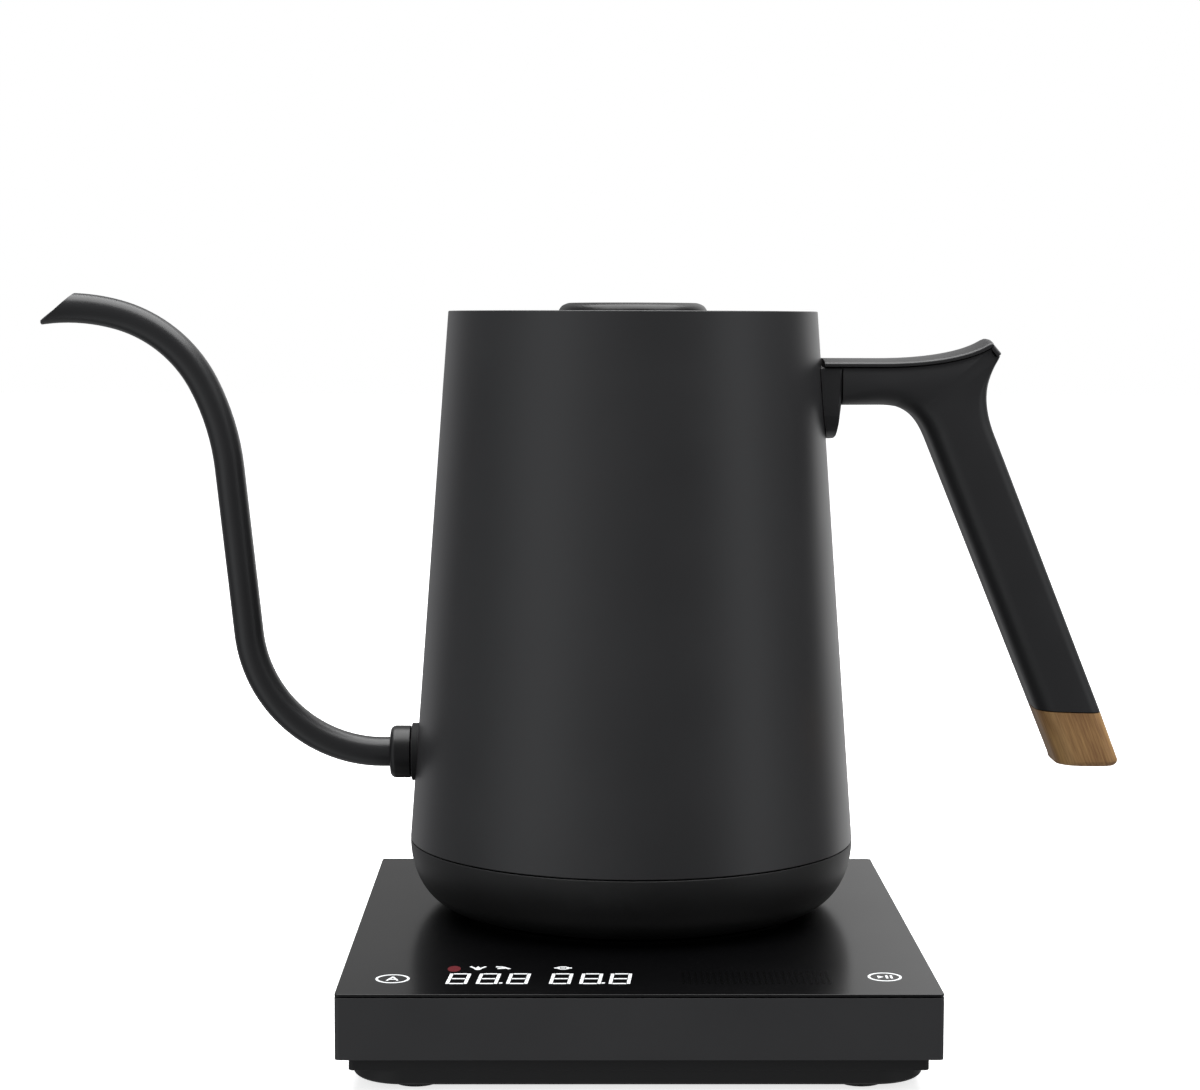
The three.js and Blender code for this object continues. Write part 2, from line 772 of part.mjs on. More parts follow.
function buildSpoutTube() {
  const section = new THREE.Shape();
  section.absarc(0, 0, spoutRadius, 0, 2 * Math.PI);
  const bore = new THREE.Path();
  bore.absarc(0, 0, spoutRadius - spoutWall, 0, 2 * Math.PI, true);
  section.holes.push(bore);
  const settings = { steps: 36, curveSegments: 4, bevelEnabled: false, extrudePath: spoutLine };
  const tube = new THREE.ExtrudeGeometry(section, settings);
  const end = spoutLine.getPoint(1);
  const knife = block(-50, 0, 0, 100, 40, 60)
    .rotateY(THREE.MathUtils.degToRad(90 - lipAngle))
    .translate(end.x, 0, end.z - spoutRadius);
  return cut(tube, knife);
}

function bodyCone(clearance) {
  const low = kettleFoot;
  const high = rimHeight + 10;
  return turned(
    [
      [0, low],
      [bodyRadiusAt(low) + clearance, low],
      [bodyRadiusAt(high) + clearance, high],
      [0, high],
    ],
    40,
  );
}

function buildSpout() {
  const group = new THREE.Group();
  const wall = -spoutRoot;
  const face = wall - collarReach;
  const bore = spoutRadius + gap;
  const washerFace = wall - washerWidth;
  const collarProfile = [
    [bore, face],
    [collarRadius - 1.2, face],
    [collarRadius, face + 1.2],
    [collarRadius, washerFace - gap],
    [bore, washerFace - gap],
  ];
  const collar = turned(collarProfile, 24).rotateY(Math.PI / 2).translate(0, 0, spoutAxis);
  const washerRing = ring(bore, collarRadius + 0.7, washerFace, wall + 3, 24)
    .rotateY(Math.PI / 2)
    .translate(0, 0, spoutAxis);
  group.add(named("spout_collar", collar, matteBlack));
  group.add(named("spout_washer", cut(washerRing, bodyCone(gap)), silicone));
  group.add(placed(named("spout_tube", buildSpoutTube(), powderBlack), spoutStart, 0, spoutAxis));
  return group;
}

// ---- Lid ----

const lidTop = rimHeight - lidDrop;
const lidFlangeBottom = lidTop - lidThickness;
const lidRadius = rimRadius - bodyWall - gap;
const recessRadius = rimRadius - recessFromRim;
const recessFloor = lidTop - recessDepth;
const plateBottom = recessFloor - lidThickness;
const ledgeTopHeight = rimHeight - ledgeDepth;
const lidScrew = { radius: 1.4 };
const linerOuter = recessRadius + 4;
const linerBottom = lidFlangeBottom - linerDepth;

function buildLidPlate() {
  const hole = lidScrew.radius + gap;
  const slope = 3;
  const profile = [
    [hole, plateBottom],
    [recessRadius - slope, plateBottom],
    [recessRadius + 0.6, recessFloor + 0.8],
    [recessRadius + 2, lidFlangeBottom],
    [lidRadius, lidFlangeBottom],
    [lidRadius, lidTop - 0.3],
    [lidRadius - 0.3, lidTop],
    [recessRadius + 0.3, lidTop],
    [recessRadius, lidTop - 0.3],
    [recessRadius - slope + 0.6, recessFloor + 0.8],
    [recessRadius - slope - 0.6, recessFloor],
    [hole, recessFloor],
  ];
  return turned(profile);
}

function buildLidKnob() {
  const top = rimHeight + knobRise;
  const bottom = recessFloor + gap;
  const hole = lidScrew.radius + gap;
  const profile = [
    [0, top],
    [knobRadius - 2.6, top],
    [knobRadius - 0.9, top - 0.7],
    [knobRadius, top - 2],
    [knobRadius, top - 5],
    [knobRadius - 1, top - 6.2],
    [14, top - 7.4],
    [12.5, top - 9],
    [12.5, bottom],
    [hole, bottom],
    [hole, top - 4],
    [0, top - 4],
  ];
  return turned(profile);
}

function buildLiner() {
  const wall = 1.2;
  const hole = lidScrew.radius + gap;
  const profile = [
    [hole, linerBottom],
    [linerOuter - 2, linerBottom],
    [linerOuter, linerBottom + 2],
    [linerOuter, lidFlangeBottom - gap],
    [linerOuter - wall, lidFlangeBottom - gap],
    [linerOuter - wall, linerBottom + 2.4],
    [linerOuter - wall - 1.2, linerBottom + wall],
    [hole, linerBottom + wall],
  ];
  return turned(profile);
}

function buildLid() {
  const group = new THREE.Group();
  const seal = ring(linerOuter + gap, lidRadius, ledgeTopHeight + gap, lidFlangeBottom - gap);
  const screwSeat = linerBottom - gap;
  const screwLength = rimHeight + knobRise - 5 - screwSeat;
  group.add(named("lid_plate", buildLidPlate(), matteBlack));
  group.add(named("lid_knob", buildLidKnob(), matteBlack));
  group.add(named("lid_liner", buildLiner(), stainless));
  group.add(named("lid_seal", seal, silicone));
  group.add(placed(named("lid_screw", screwGeometry(lidScrew.radius, screwLength), zincSteel), 0, 0, screwSeat));
  return group;
}

// ---- Handle ----
// Its outline is drawn from where the arm's top meets the body wall: x outwards, y upwards.

const peak = new THREE.Vector2(43.5, 6.2);
const hookCorner = new THREE.Vector2(47.5, 2);
const gripTop = { inside: new THREE.Vector2(29, -22.1), outside: new THREE.Vector2(46.4, -21.6) };
const tipJoint = { left: new THREE.Vector2(58.1, -93.6), right: new THREE.Vector2(74.7, -94.1) };
const armStart = bracketReach + gap;

// Draws the top of the arm, from the body wall to the hook's peak.
function drawArmTop(path) {
  path.moveTo(-3, 0);
  path.lineTo(15.1, 0);
  path.bezierCurveTo(27, 0, 35.4, 2.3, peak.x, peak.y);
  return path;
}

function handleOutline() {
  const shape = drawArmTop(new THREE.Shape());
  shape.lineTo(hookCorner.x, hookCorner.y);
  shape.bezierCurveTo(42.4, -5.8, 42.6, -12.8, gripTop.outside.x, gripTop.outside.y);
  shape.lineTo(80.7, -107);
  shape.lineTo(79.3, -108.8);
  shape.lineTo(72, -108.8);
  shape.lineTo(66.2, -108.4);
  shape.lineTo(63.7, -107.4);
  shape.lineTo(gripTop.inside.x, gripTop.inside.y);
  shape.bezierCurveTo(26.2, -15.3, 23.5, -armDepth, 15, -armDepth);
  shape.lineTo(-3, -armDepth);
  return shape;
}

// Moves an open line of points sideways, with mitred corners; inwards is to its right.
function offsetLine(points, distance) {
  return points.map((point, i) => {
    const before = points[Math.max(i - 1, 0)];
    const after = points[Math.min(i + 1, points.length - 1)];
    const first = point.clone().sub(i > 0 ? before : point).normalize();
    const second = after.clone().sub(point).normalize();
    const along = i === 0 ? second : i === points.length - 1 ? first : first.clone().add(second).normalize();
    const normal = new THREE.Vector2(along.y, -along.x);
    const straightness = i === 0 || i === points.length - 1 ? 1 : along.dot(first);
    return point.clone().addScaledVector(normal, distance / straightness);
  });
}

// The strip along the arm's top and round the hook's end, to a given depth.
function coverStrip(depth) {
  const line = drawArmTop(new THREE.Path()).getPoints(7);
  line.push(hookCorner.clone());
  const outer = offsetLine(line, -3);
  const inner = offsetLine(line, depth).reverse();
  return sideExtrusion(new THREE.Shape([...outer, ...inner]), 2 * handleWidth);
}

// Everything below the joint of the wooden tip, lowered by a clearance.
function belowTipJoint(clearance) {
  const slope = (tipJoint.right.y - tipJoint.left.y) / (tipJoint.right.x - tipJoint.left.x);
  const heightAt = (x) => tipJoint.left.y + slope * (x - tipJoint.left.x) - clearance;
  const points = [
    new THREE.Vector2(30, heightAt(30)),
    new THREE.Vector2(30, -140),
    new THREE.Vector2(110, -140),
    new THREE.Vector2(110, heightAt(110)),
  ];
  return sideExtrusion(new THREE.Shape(points), 2 * handleWidth);
}

const handleScrew = { radius: 1.3, seat: 1.9, places: [14.5, 23.5] };
const tangCover = 4.2; // plastic left above the tang
const tangTop = -(coverThickness + gap) - tangCover;
const tangBottom = tangTop - tangThickness;
const tangWidth = 12;
const stud = { radius: 2.5, below: 8, above: 13 };

// The stud lies along the middle of the grip, through the wooden tip's joint.
function studRod(radius, below, above) {
  const lean = Math.atan2(tipJoint.left.x - gripTop.inside.x, gripTop.inside.y - tipJoint.left.y);
  const middle = tipJoint.left.clone().add(tipJoint.right).multiplyScalar(0.5);
  return rod(radius, -below, above, 16).rotateY(-lean).translate(middle.x, 0, middle.y);
}

function buildGrip() {
  const blank = sideExtrusion(handleOutline(), handleWidth, handleBevel);
  const pocketLength = bracketReach + tangLength + gap;
  const pocket = block(
    pocketLength / 2,
    0,
    tangBottom - gap,
    pocketLength,
    tangWidth + 2 * gap,
    tangThickness + 2 * gap,
  );
  const armEnd = block(armStart - 20, 0, -60, 40, 2 * handleWidth, 90);
  const top = -(coverThickness + gap);
  const screwHoles = handleScrew.places.map((x) =>
    join(
      rod(handleScrew.radius + gap, tangTop - 1, top + 2, 12),
      rod(2 * handleScrew.radius + gap, top - handleScrew.seat - gap, top + 2, 16),
    ).translate(x, 0, 0),
  );
  return cut(
    blank,
    coverStrip(coverThickness + gap),
    armEnd,
    pocket,
    ...screwHoles,
    belowTipJoint(0),
    studRod(stud.radius + gap, stud.below, stud.above + gap),
  );
}

function buildTopCover() {
  const blank = sideExtrusion(handleOutline(), handleWidth, handleBevel);
  return common(blank, coverStrip(coverThickness));
}

function buildWoodenTip() {
  const blank = sideExtrusion(handleOutline(), handleWidth, handleBevel);
  const hole = studRod(stud.radius + gap, stud.below + gap, stud.above);
  return cut(common(blank, belowTipJoint(gap)), hole);
}

// A tongue against the body wall, narrowing downwards, with a tang that reaches into the arm.
function buildBracket() {
  const top = -(coverThickness + gap);
  const side = new THREE.Shape();
  side.moveTo(-6, top);
  side.lineTo(bracketReach, top);
  side.lineTo(bracketReach, 3.6 - armDepth);
  side.quadraticCurveTo(bracketReach - 0.4, -armDepth - 1, bracketReach - 1.3, 1.5 - bracketDrop);
  side.quadraticCurveTo(bracketReach - 1.5, -bracketDrop, bracketReach - 2.6, -bracketDrop);
  side.lineTo(-6, -bracketDrop);
  const half = bracketWidth / 2;
  const front = new THREE.Shape();
  front.moveTo(-half, 1);
  front.lineTo(-half, -armDepth);
  front.bezierCurveTo(-half, -bracketDrop + 3, -half + 3, -bracketDrop, 0, -bracketDrop);
  front.bezierCurveTo(half - 3, -bracketDrop, half, -bracketDrop + 3, half, -armDepth);
  front.lineTo(half, 1);
  const tongue = new THREE.ExtrudeGeometry(front, { depth: 40, bevelEnabled: false, curveSegments: 6 })
    .rotateX(Math.PI / 2)
    .rotateZ(Math.PI / 2)
    .translate(-10, 0, 0);
  const plate = common(sideExtrusion(side, bracketWidth, 0.8), tongue);
  const tang = block(
    (bracketReach + tangLength) / 2,
    0,
    tangBottom,
    bracketReach + tangLength,
    tangWidth,
    tangThickness,
  );
  const holes = handleScrew.places.map((x) =>
    rod(handleScrew.radius + gap, tangBottom - 1, tangTop + 1, 12).translate(x, 0, 0),
  );
  return cut(join(plate, tang), ...holes);
}

function buildHandle() {
  const group = new THREE.Group();
  const root = bodyRadiusAt(armTop);
  // What touches the body wall is cut to its taper, in the body's own place.
  const fitted = (geometry) => cut(geometry.translate(root, 0, armTop), bodyCone(gap));
  group.add(named("handle_bracket", fitted(buildBracket()), matteBlack));
  group.add(named("handle_top_cover", fitted(buildTopCover()), matteBlack));
  group.add(placed(named("handle_grip", buildGrip(), matteBlack), root, 0, armTop));
  group.add(placed(named("wooden_tip", buildWoodenTip(), walnut), root, 0, armTop));
  const studGeometry = studRod(stud.radius, stud.below, stud.above);
  group.add(placed(named("tip_stud", studGeometry, zincSteel), root, 0, armTop));
  const seat = armTop - (coverThickness + gap) - handleScrew.seat;
  const length = seat - (armTop + tangBottom);
  handleScrew.places.forEach((x, i) => {
    const screw = screwGeometry(handleScrew.radius, length).rotateX(Math.PI);
    group.add(placed(named(`handle_screw_${i + 1}`, screw, zincSteel), root + x, 0, seat));
  });
  return group;
}

// ---- Assembly ----

const base = new THREE.Group();
base.add(buildCasing(), buildElectronics());

const kettle = new THREE.Group();
kettle.position.y = kettleOffset;
kettle.add(buildConnectorBase(), buildConnectorSocket(), buildVessel(), buildSpout(), buildLid(), buildHandle());

// The part's origin is the middle of its bounding box, on the table.
const object = new THREE.Group();
object.add(base, kettle);
const box = new THREE.Box3().setFromObject(object);
const centre = box.getCenter(new THREE.Vector3());
object.position.set(-centre.x, -centre.y, -box.min.z);

const part = new THREE.Group();
part.add(object);

export default part;
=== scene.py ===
import json
import math

import bmesh
import bpy
from mathutils import Matrix, Vector

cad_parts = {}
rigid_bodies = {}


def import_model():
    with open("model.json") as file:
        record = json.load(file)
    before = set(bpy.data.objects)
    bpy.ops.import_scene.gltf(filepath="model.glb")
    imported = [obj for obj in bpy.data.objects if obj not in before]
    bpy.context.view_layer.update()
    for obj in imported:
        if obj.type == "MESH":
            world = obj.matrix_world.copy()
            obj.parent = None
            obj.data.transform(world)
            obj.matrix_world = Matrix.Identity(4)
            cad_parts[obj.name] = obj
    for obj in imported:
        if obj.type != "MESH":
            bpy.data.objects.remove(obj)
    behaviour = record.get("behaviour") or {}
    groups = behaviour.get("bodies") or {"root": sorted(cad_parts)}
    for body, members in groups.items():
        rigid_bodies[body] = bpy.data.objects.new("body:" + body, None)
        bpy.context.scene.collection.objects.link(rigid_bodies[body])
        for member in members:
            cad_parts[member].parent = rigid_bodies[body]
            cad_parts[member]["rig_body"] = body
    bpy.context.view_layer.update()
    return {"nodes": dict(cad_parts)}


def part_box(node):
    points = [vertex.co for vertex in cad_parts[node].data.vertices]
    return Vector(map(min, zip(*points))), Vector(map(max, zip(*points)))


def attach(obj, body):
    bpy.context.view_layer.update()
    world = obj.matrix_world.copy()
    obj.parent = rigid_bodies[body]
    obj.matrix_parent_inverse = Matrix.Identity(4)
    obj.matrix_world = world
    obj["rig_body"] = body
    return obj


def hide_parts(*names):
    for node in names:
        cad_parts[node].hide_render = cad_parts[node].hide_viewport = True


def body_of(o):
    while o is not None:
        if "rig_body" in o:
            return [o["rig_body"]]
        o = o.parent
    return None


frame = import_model()
mm = 0.001

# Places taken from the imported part.
bodyLow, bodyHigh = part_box("body_shell")
plateLow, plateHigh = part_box("top_plate")
axis = Vector(((bodyLow.x + bodyHigh.x) / 2, (bodyLow.y + bodyHigh.y) / 2, 0)) / mm
baseMiddle = Vector(((plateLow.x + plateHigh.x) / 2, (plateLow.y + plateHigh.y) / 2, 0)) / mm
plateTop = plateHigh.z / mm
rim = bodyHigh.z / mm
print("frame loaded:", len(frame["nodes"]), "CAD nodes")


def hexToLinear(text):
    parts = [int(text[i:i + 2], 16) / 255 for i in (1, 3, 5)]
    return tuple(c / 12.92 if c <= 0.04045 else ((c + 0.055) / 1.055) ** 2.4 for c in parts) + (1,)


def startMaterial(name, viewColour):
    made = bpy.data.materials.new(name)
    made.use_nodes = True
    made.diffuse_color = hexToLinear(viewColour)
    tree = made.node_tree
    return made, tree, tree.nodes["Principled BSDF"]


# A socket is linked, and anything else is set on the node itself.
def setInputs(tree, node, inputs):
    for key, value in inputs.items():
        if isinstance(value, bpy.types.NodeSocket):
            tree.links.new(value, node.inputs[key])
        else:
            node.inputs[key].default_value = value


def addNode(tree, kind, settings, inputs):
    node = tree.nodes.new(kind)
    for key, value in settings.items():
        setattr(node, key, value)
    setInputs(tree, node, inputs)
    return node


def objectPlace(tree):
    return tree.nodes.new("ShaderNodeTexCoord").outputs["Object"]


def rampStops(ramp, stops):
    elements = ramp.color_ramp.elements
    while len(elements) < len(stops):
        elements.new(0.5)
    for element, (place, colour) in zip(elements, stops):
        element.position = place
        element.color = hexToLinear(colour)


def perMetre(sizeInMm):
    return 1 / (sizeInMm * mm)  # noise scale whose feature is about this size


# A grained or grainy black surface: fine bumps, and a slow change in colour and gloss.
def speckledFinish(name, s):
    made, tree, shader = startMaterial(name, s["colour"])
    place = objectPlace(tree)
    fine = addNode(tree, "ShaderNodeTexNoise", {}, {
        "Vector": place, "Scale": perMetre(s["grain"]), "Detail": 3, "Roughness": 0.6})
    slow = addNode(tree, "ShaderNodeTexNoise", {}, {
        "Vector": place, "Scale": perMetre(s["patch"]), "Detail": 2})
    tint = addNode(tree, "ShaderNodeValToRGB", {}, {"Fac": slow.outputs["Fac"]})
    rampStops(tint, [(0.3, s["colour"]), (0.7, s["colourHigh"])])
    gloss = addNode(tree, "ShaderNodeMapRange", {}, {
        "Value": slow.outputs["Fac"], "From Min": 0.3, "From Max": 0.7,
        "To Min": s["roughness"] - s["roughSpread"], "To Max": s["roughness"] + s["roughSpread"]})
    bump = addNode(tree, "ShaderNodeBump", {}, {
        "Strength": s["bump"], "Distance": s["depth"] * mm, "Height": fine.outputs["Fac"]})
    setInputs(tree, shader, {
        "Base Color": tint.outputs["Color"], "Roughness": gloss.outputs["Result"],
        "Normal": bump.outputs["Normal"], "IOR": s["ior"]})
    return made


# Turned, drawn or brushed metal: fine scratches that run one way.
def brushedMetal(name, s):
    made, tree, shader = startMaterial(name, s["colour"])
    place = objectPlace(tree)
    stretched = addNode(tree, "ShaderNodeMapping", {}, {"Vector": place, "Scale": s["stretch"]})
    lines = addNode(tree, "ShaderNodeTexNoise", {}, {
        "Vector": stretched.outputs["Vector"], "Scale": perMetre(s["grain"]), "Detail": 4})
    tint = addNode(tree, "ShaderNodeValToRGB", {}, {"Fac": lines.outputs["Fac"]})
    rampStops(tint, [(0.3, s["colour"]), (0.7, s["colourHigh"])])
    gloss = addNode(tree, "ShaderNodeMapRange", {}, {
        "Value": lines.outputs["Fac"], "To Min": s["roughness"] - 0.08, "To Max": s["roughness"] + 0.08})
    bump = addNode(tree, "ShaderNodeBump", {}, {
        "Strength": 0.25, "Distance": 0.01 * mm, "Height": lines.outputs["Fac"]})
    setInputs(tree, shader, {
        "Base Color": tint.outputs["Color"], "Roughness": gloss.outputs["Result"],
        "Normal": bump.outputs["Normal"], "Metallic": 1.0})
    return made


finishes = {
    # Sprayed and baked polyester powder on steel: satin, with a faint orange peel.
    "powderCoat": speckledFinish("powder_coat_sprayed_satin_black", {
        "colour": "#313132", "colourHigh": "#343435", "grain": 0.55, "patch": 30, "roughness": 0.36,
        "roughSpread": 0.02, "bump": 0.12, "depth": 0.02, "ior": 1.5}),
    # The same powder over the bent tube, which takes it smoother.
    "spoutCoat": speckledFinish("powder_coat_sprayed_on_tube", {
        "colour": "#272728", "colourHigh": "#2a2a2b", "grain": 0.5, "patch": 20, "roughness": 0.33,
        "roughSpread": 0.02, "bump": 0.1, "depth": 0.02, "ior": 1.5}),
    # Glass-filled polypropylene, spark-eroded mould: matte, it takes light softly.
    "cupPlastic": speckledFinish("polypropylene_moulded_matte", {
        "colour": "#1d1d1d", "colourHigh": "#202020", "grain": 0.35, "patch": 18, "roughness": 0.5,
        "roughSpread": 0.03, "bump": 0.2, "depth": 0.02, "ior": 1.49}),
    # Nylon with a soft-touch lacquer: a broad, dull sheen on every round edge.
    "handlePlastic": speckledFinish("nylon_moulded_soft_touch", {
        "colour": "#2a2a2b", "colourHigh": "#2d2d2e", "grain": 0.4, "patch": 22, "roughness": 0.44,
        "roughSpread": 0.03, "bump": 0.12, "depth": 0.02, "ior": 1.5}),
    # Turned acetal for the collar and the lid knob: denser black, a bit glossier.
    "collarPlastic": speckledFinish("acetal_turned_black", {
        "colour": "#0d0d0e", "colourHigh": "#111112", "grain": 0.3, "patch": 6, "roughness": 0.36,
        "roughSpread": 0.04, "bump": 0.1, "depth": 0.01, "ior": 1.48}),
    "lidPlastic": speckledFinish("polypropylene_moulded_lid", {
        "colour": "#111112", "colourHigh": "#151516", "grain": 0.3, "patch": 10, "roughness": 0.38,
        "roughSpread": 0.04, "bump": 0.12, "depth": 0.02, "ior": 1.49}),
    # Tempered glass printed black behind: almost no colour, a clear but soft mirror at low angles.
    "plateGlass": speckledFinish("tempered_glass_back_printed_black", {
        "colour": "#060607", "colourHigh": "#080809", "grain": 4.0, "patch": 40, "roughness": 0.2,
        "roughSpread": 0.015, "bump": 0.02, "depth": 0.01, "ior": 1.5}),
    # ABS with a fine moulded texture.
    "framePlastic": speckledFinish("abs_moulded_fine_texture", {
        "colour": "#353536", "colourHigh": "#383839", "grain": 0.35, "patch": 25, "roughness": 0.55,
        "roughSpread": 0.03, "bump": 0.25, "depth": 0.02, "ior": 1.53}),
    "trayPlastic": speckledFinish("abs_moulded_coarse_texture", {
        "colour": "#1e1e1e", "colourHigh": "#212121", "grain": 0.5, "patch": 25, "roughness": 0.65,
        "roughSpread": 0.03, "bump": 0.3, "depth": 0.03, "ior": 1.53}),
    # Moulded silicone: dusty, no hard highlight.
    "silicone": speckledFinish("silicone_rubber_moulded", {
        "colour": "#161617", "colourHigh": "#1c1c1d", "grain": 0.6, "patch": 5, "roughness": 0.72,
        "roughSpread": 0.05, "bump": 0.2, "depth": 0.02, "ior": 1.41}),
    "connectorPlastic": speckledFinish("polyamide_moulded_connector", {
        "colour": "#121213", "colourHigh": "#19191a", "grain": 0.4, "patch": 8, "roughness": 0.5,
        "roughSpread": 0.05, "bump": 0.2, "depth": 0.02, "ior": 1.53}),
    "circuitBoard": speckledFinish("fibreglass_board_solder_mask", {
        "colour": "#123d24", "colourHigh": "#1b5231", "grain": 1.2, "patch": 9, "roughness": 0.35,
        "roughSpread": 0.06, "bump": 0.2, "depth": 0.03, "ior": 1.55}),
    "modulePlastic": speckledFinish("polycarbonate_moulded_diffuser", {
        "colour": "#3a3b3d", "colourHigh": "#46474a", "grain": 0.6, "patch": 8, "roughness": 0.4,
        "roughSpread": 0.05, "bump": 0.1, "depth": 0.02, "ior": 1.58}),
    "relayCase": speckledFinish("pbt_moulded_relay_case", {
        "colour": "#22406b", "colourHigh": "#2a4c7c", "grain": 0.5, "patch": 6, "roughness": 0.4,
        "roughSpread": 0.05, "bump": 0.15, "depth": 0.02, "ior": 1.56}),
    "transformerTape": speckledFinish("polyester_tape_wound_yellow", {
        "colour": "#b89428", "colourHigh": "#c9a63a", "grain": 0.7, "patch": 6, "roughness": 0.35,
        "roughSpread": 0.06, "bump": 0.3, "depth": 0.03, "ior": 1.6}),
    # Deep-drawn 304 stainless, left bare inside the vessel.
    "stainless": brushedMetal("stainless_steel_drawn_bare", {
        "colour": "#b3b4b4", "colourHigh": "#c6c6c4", "grain": 1.4, "stretch": (1, 1, 0.05),
        "roughness": 0.3}),
    "castAluminium": brushedMetal("aluminium_die_cast", {
        "colour": "#8d9093", "colourHigh": "#a5a8ab", "grain": 1.0, "stretch": (1, 1, 1),
        "roughness": 0.5}),
    "zincSteel": brushedMetal("steel_zinc_plated", {
        "colour": "#8f9398", "colourHigh": "#a9adb2", "grain": 0.5, "stretch": (1, 1, 1),
        "roughness": 0.35}),
    "brass": brushedMetal("brass_turned", {
        "colour": "#b08a45", "colourHigh": "#c29d58", "grain": 0.5, "stretch": (1, 1, 0.1),
        "roughness": 0.3}),
}


# Walnut, planed and oiled: growth rings cut lengthwise, with fine fibres, and a painted shade that darkens the
# side towards the kettle and lightens the outer side.
def walnutOiled(s):
    made, tree, shader = startMaterial("walnut_planed_and_oiled", s["mid"])
    place = objectPlace(tree)
    turned = addNode(tree, "ShaderNodeMapping", {"vector_type": "TEXTURE"}, {
        "Vector": place, "Location": s["heart"],
        "Rotation": (0, math.radians(s["lean"]), 0)}).outputs["Vector"]
    along = addNode(tree, "ShaderNodeMapping", {}, {
        "Vector": turned, "Scale": (1, 1, s["stretch"])}).outputs["Vector"]
    rings = addNode(tree, "ShaderNodeTexWave", {"bands_direction": "X"}, {
        "Vector": along, "Scale": perMetre(s["ringPitch"]) / 20, "Distortion": 5.5, "Detail": 3,
        "Detail Scale": 1.4, "Phase Offset": s["phase"]})
    fibre = addNode(tree, "ShaderNodeTexNoise", {}, {
        "Vector": along, "Scale": perMetre(s["fibre"]), "Detail": 4, "Roughness": 0.65})
    figure = addNode(tree, "ShaderNodeMix", {"data_type": "FLOAT"}, {
        0: 0.6, 2: rings.outputs["Fac"], 3: fibre.outputs["Fac"]})
    across = addNode(tree, "ShaderNodeSeparateXYZ", {}, {"Vector": turned})
    # Painted shade and light: a gradient across the tip, darker on the side towards the kettle and lighter on
    # the outer side, standing in for how the light falls.
    paintedSideShade = addNode(tree, "ShaderNodeMapRange", {}, {
        "Value": across.outputs["X"], "From Min": 0, "From Max": s["width"] * mm,
        "To Min": s["nearSidePaintedShade"], "To Max": s["farSidePaintedLight"]})
    shade = addNode(tree, "ShaderNodeMath", {"operation": "ADD"}, {
        0: figure.outputs[0], 1: paintedSideShade.outputs["Result"]})
    colour = addNode(tree, "ShaderNodeValToRGB", {}, {"Fac": shade.outputs["Value"]})
    rampStops(colour, [(0.12, s["dark"]), (0.32, s["low"]), (0.52, s["mid"]), (0.8, s["light"])])
    bump = addNode(tree, "ShaderNodeBump", {}, {
        "Strength": 0.35, "Distance": 0.05 * mm, "Height": fibre.outputs["Fac"]})
    setInputs(tree, shader, {
        "Base Color": colour.outputs["Color"], "Roughness": 0.48, "IOR": 1.5,
        "Normal": bump.outputs["Normal"]})
    return made


# Light behind a printed legend, or the ink itself: an even tone that glows a little.
def legendInk(name, colour, glow):
    made, tree, shader = startMaterial(name, colour)
    place = objectPlace(tree)
    grain = addNode(tree, "ShaderNodeTexNoise", {}, {"Vector": place, "Scale": perMetre(0.4)})
    gloss = addNode(tree, "ShaderNodeMapRange", {}, {
        "Value": grain.outputs["Fac"], "To Min": 0.3, "To Max": 0.5})
    setInputs(tree, shader, {
        "Base Color": hexToLinear(colour), "Roughness": gloss.outputs["Result"],
        "Emission Color": hexToLinear(colour), "Emission Strength": glow,
        "Specular IOR Level": 0.5 if glow else 0.05})
    return made


inks = {
    "white": legendInk("screen_ink_white_lit", "#dfe1e2", 0.55),
    "red": legendInk("screen_ink_red_lit", "#5c1a20", 0.35),
    "shadow": legendInk("screen_ink_black_dull", "#040404", 0.0),
}
print("materials made")


def evenShading(piece):
    even = piece.modifiers.new("evenNormals", "WEIGHTED_NORMAL")
    even.keep_sharp = True


# The mesh becomes a piece that rides a body and stands for its CAD nodes.
def finishPiece(bm, name, material, body, stands=(), sharp=32, weighted=True):
    mesh = bpy.data.meshes.new(name)
    bm.to_mesh(mesh)
    bm.free()
    for one in material if isinstance(material, (list, tuple)) else [material]:
        mesh.materials.append(one)
    mesh.shade_smooth()
    mesh.set_sharp_from_angle(angle=math.radians(sharp))
    piece = bpy.data.objects.new(name, mesh)
    bpy.context.scene.collection.objects.link(piece)
    if weighted:
        evenShading(piece)
    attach(piece, body)
    if stands:
        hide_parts(*stands)
    return piece


# A profile of (radius, height) or (radius, height, rounding) in mm, spun about a standing axis.
def lathe(profile, centre, steps=96, closed=False):
    bm = bmesh.new()
    verts = [bm.verts.new((point[0] * mm, 0, point[1] * mm)) for point in profile]
    for i in range(len(verts) - (0 if closed else 1)):
        bm.edges.new((verts[i], verts[(i + 1) % len(verts)]))
    rounded = [(v, point[2]) for v, point in zip(verts, profile) if len(point) > 2]
    for v, radius in rounded:
        bmesh.ops.bevel(bm, geom=[v], affect="VERTICES", offset=radius * mm, segments=4,
                        profile=0.5, material=-1)
    bmesh.ops.spin(bm, geom=bm.verts[:] + bm.edges[:], cent=(0, 0, 0), axis=(0, 0, 1),
                   angle=2 * math.pi, steps=steps, use_merge=True)
    bmesh.ops.remove_doubles(bm, verts=bm.verts, dist=1e-6)
    bmesh.ops.recalc_face_normals(bm, faces=bm.faces)
    bmesh.ops.translate(bm, verts=bm.verts, vec=Vector(centre) * mm)
    return bm


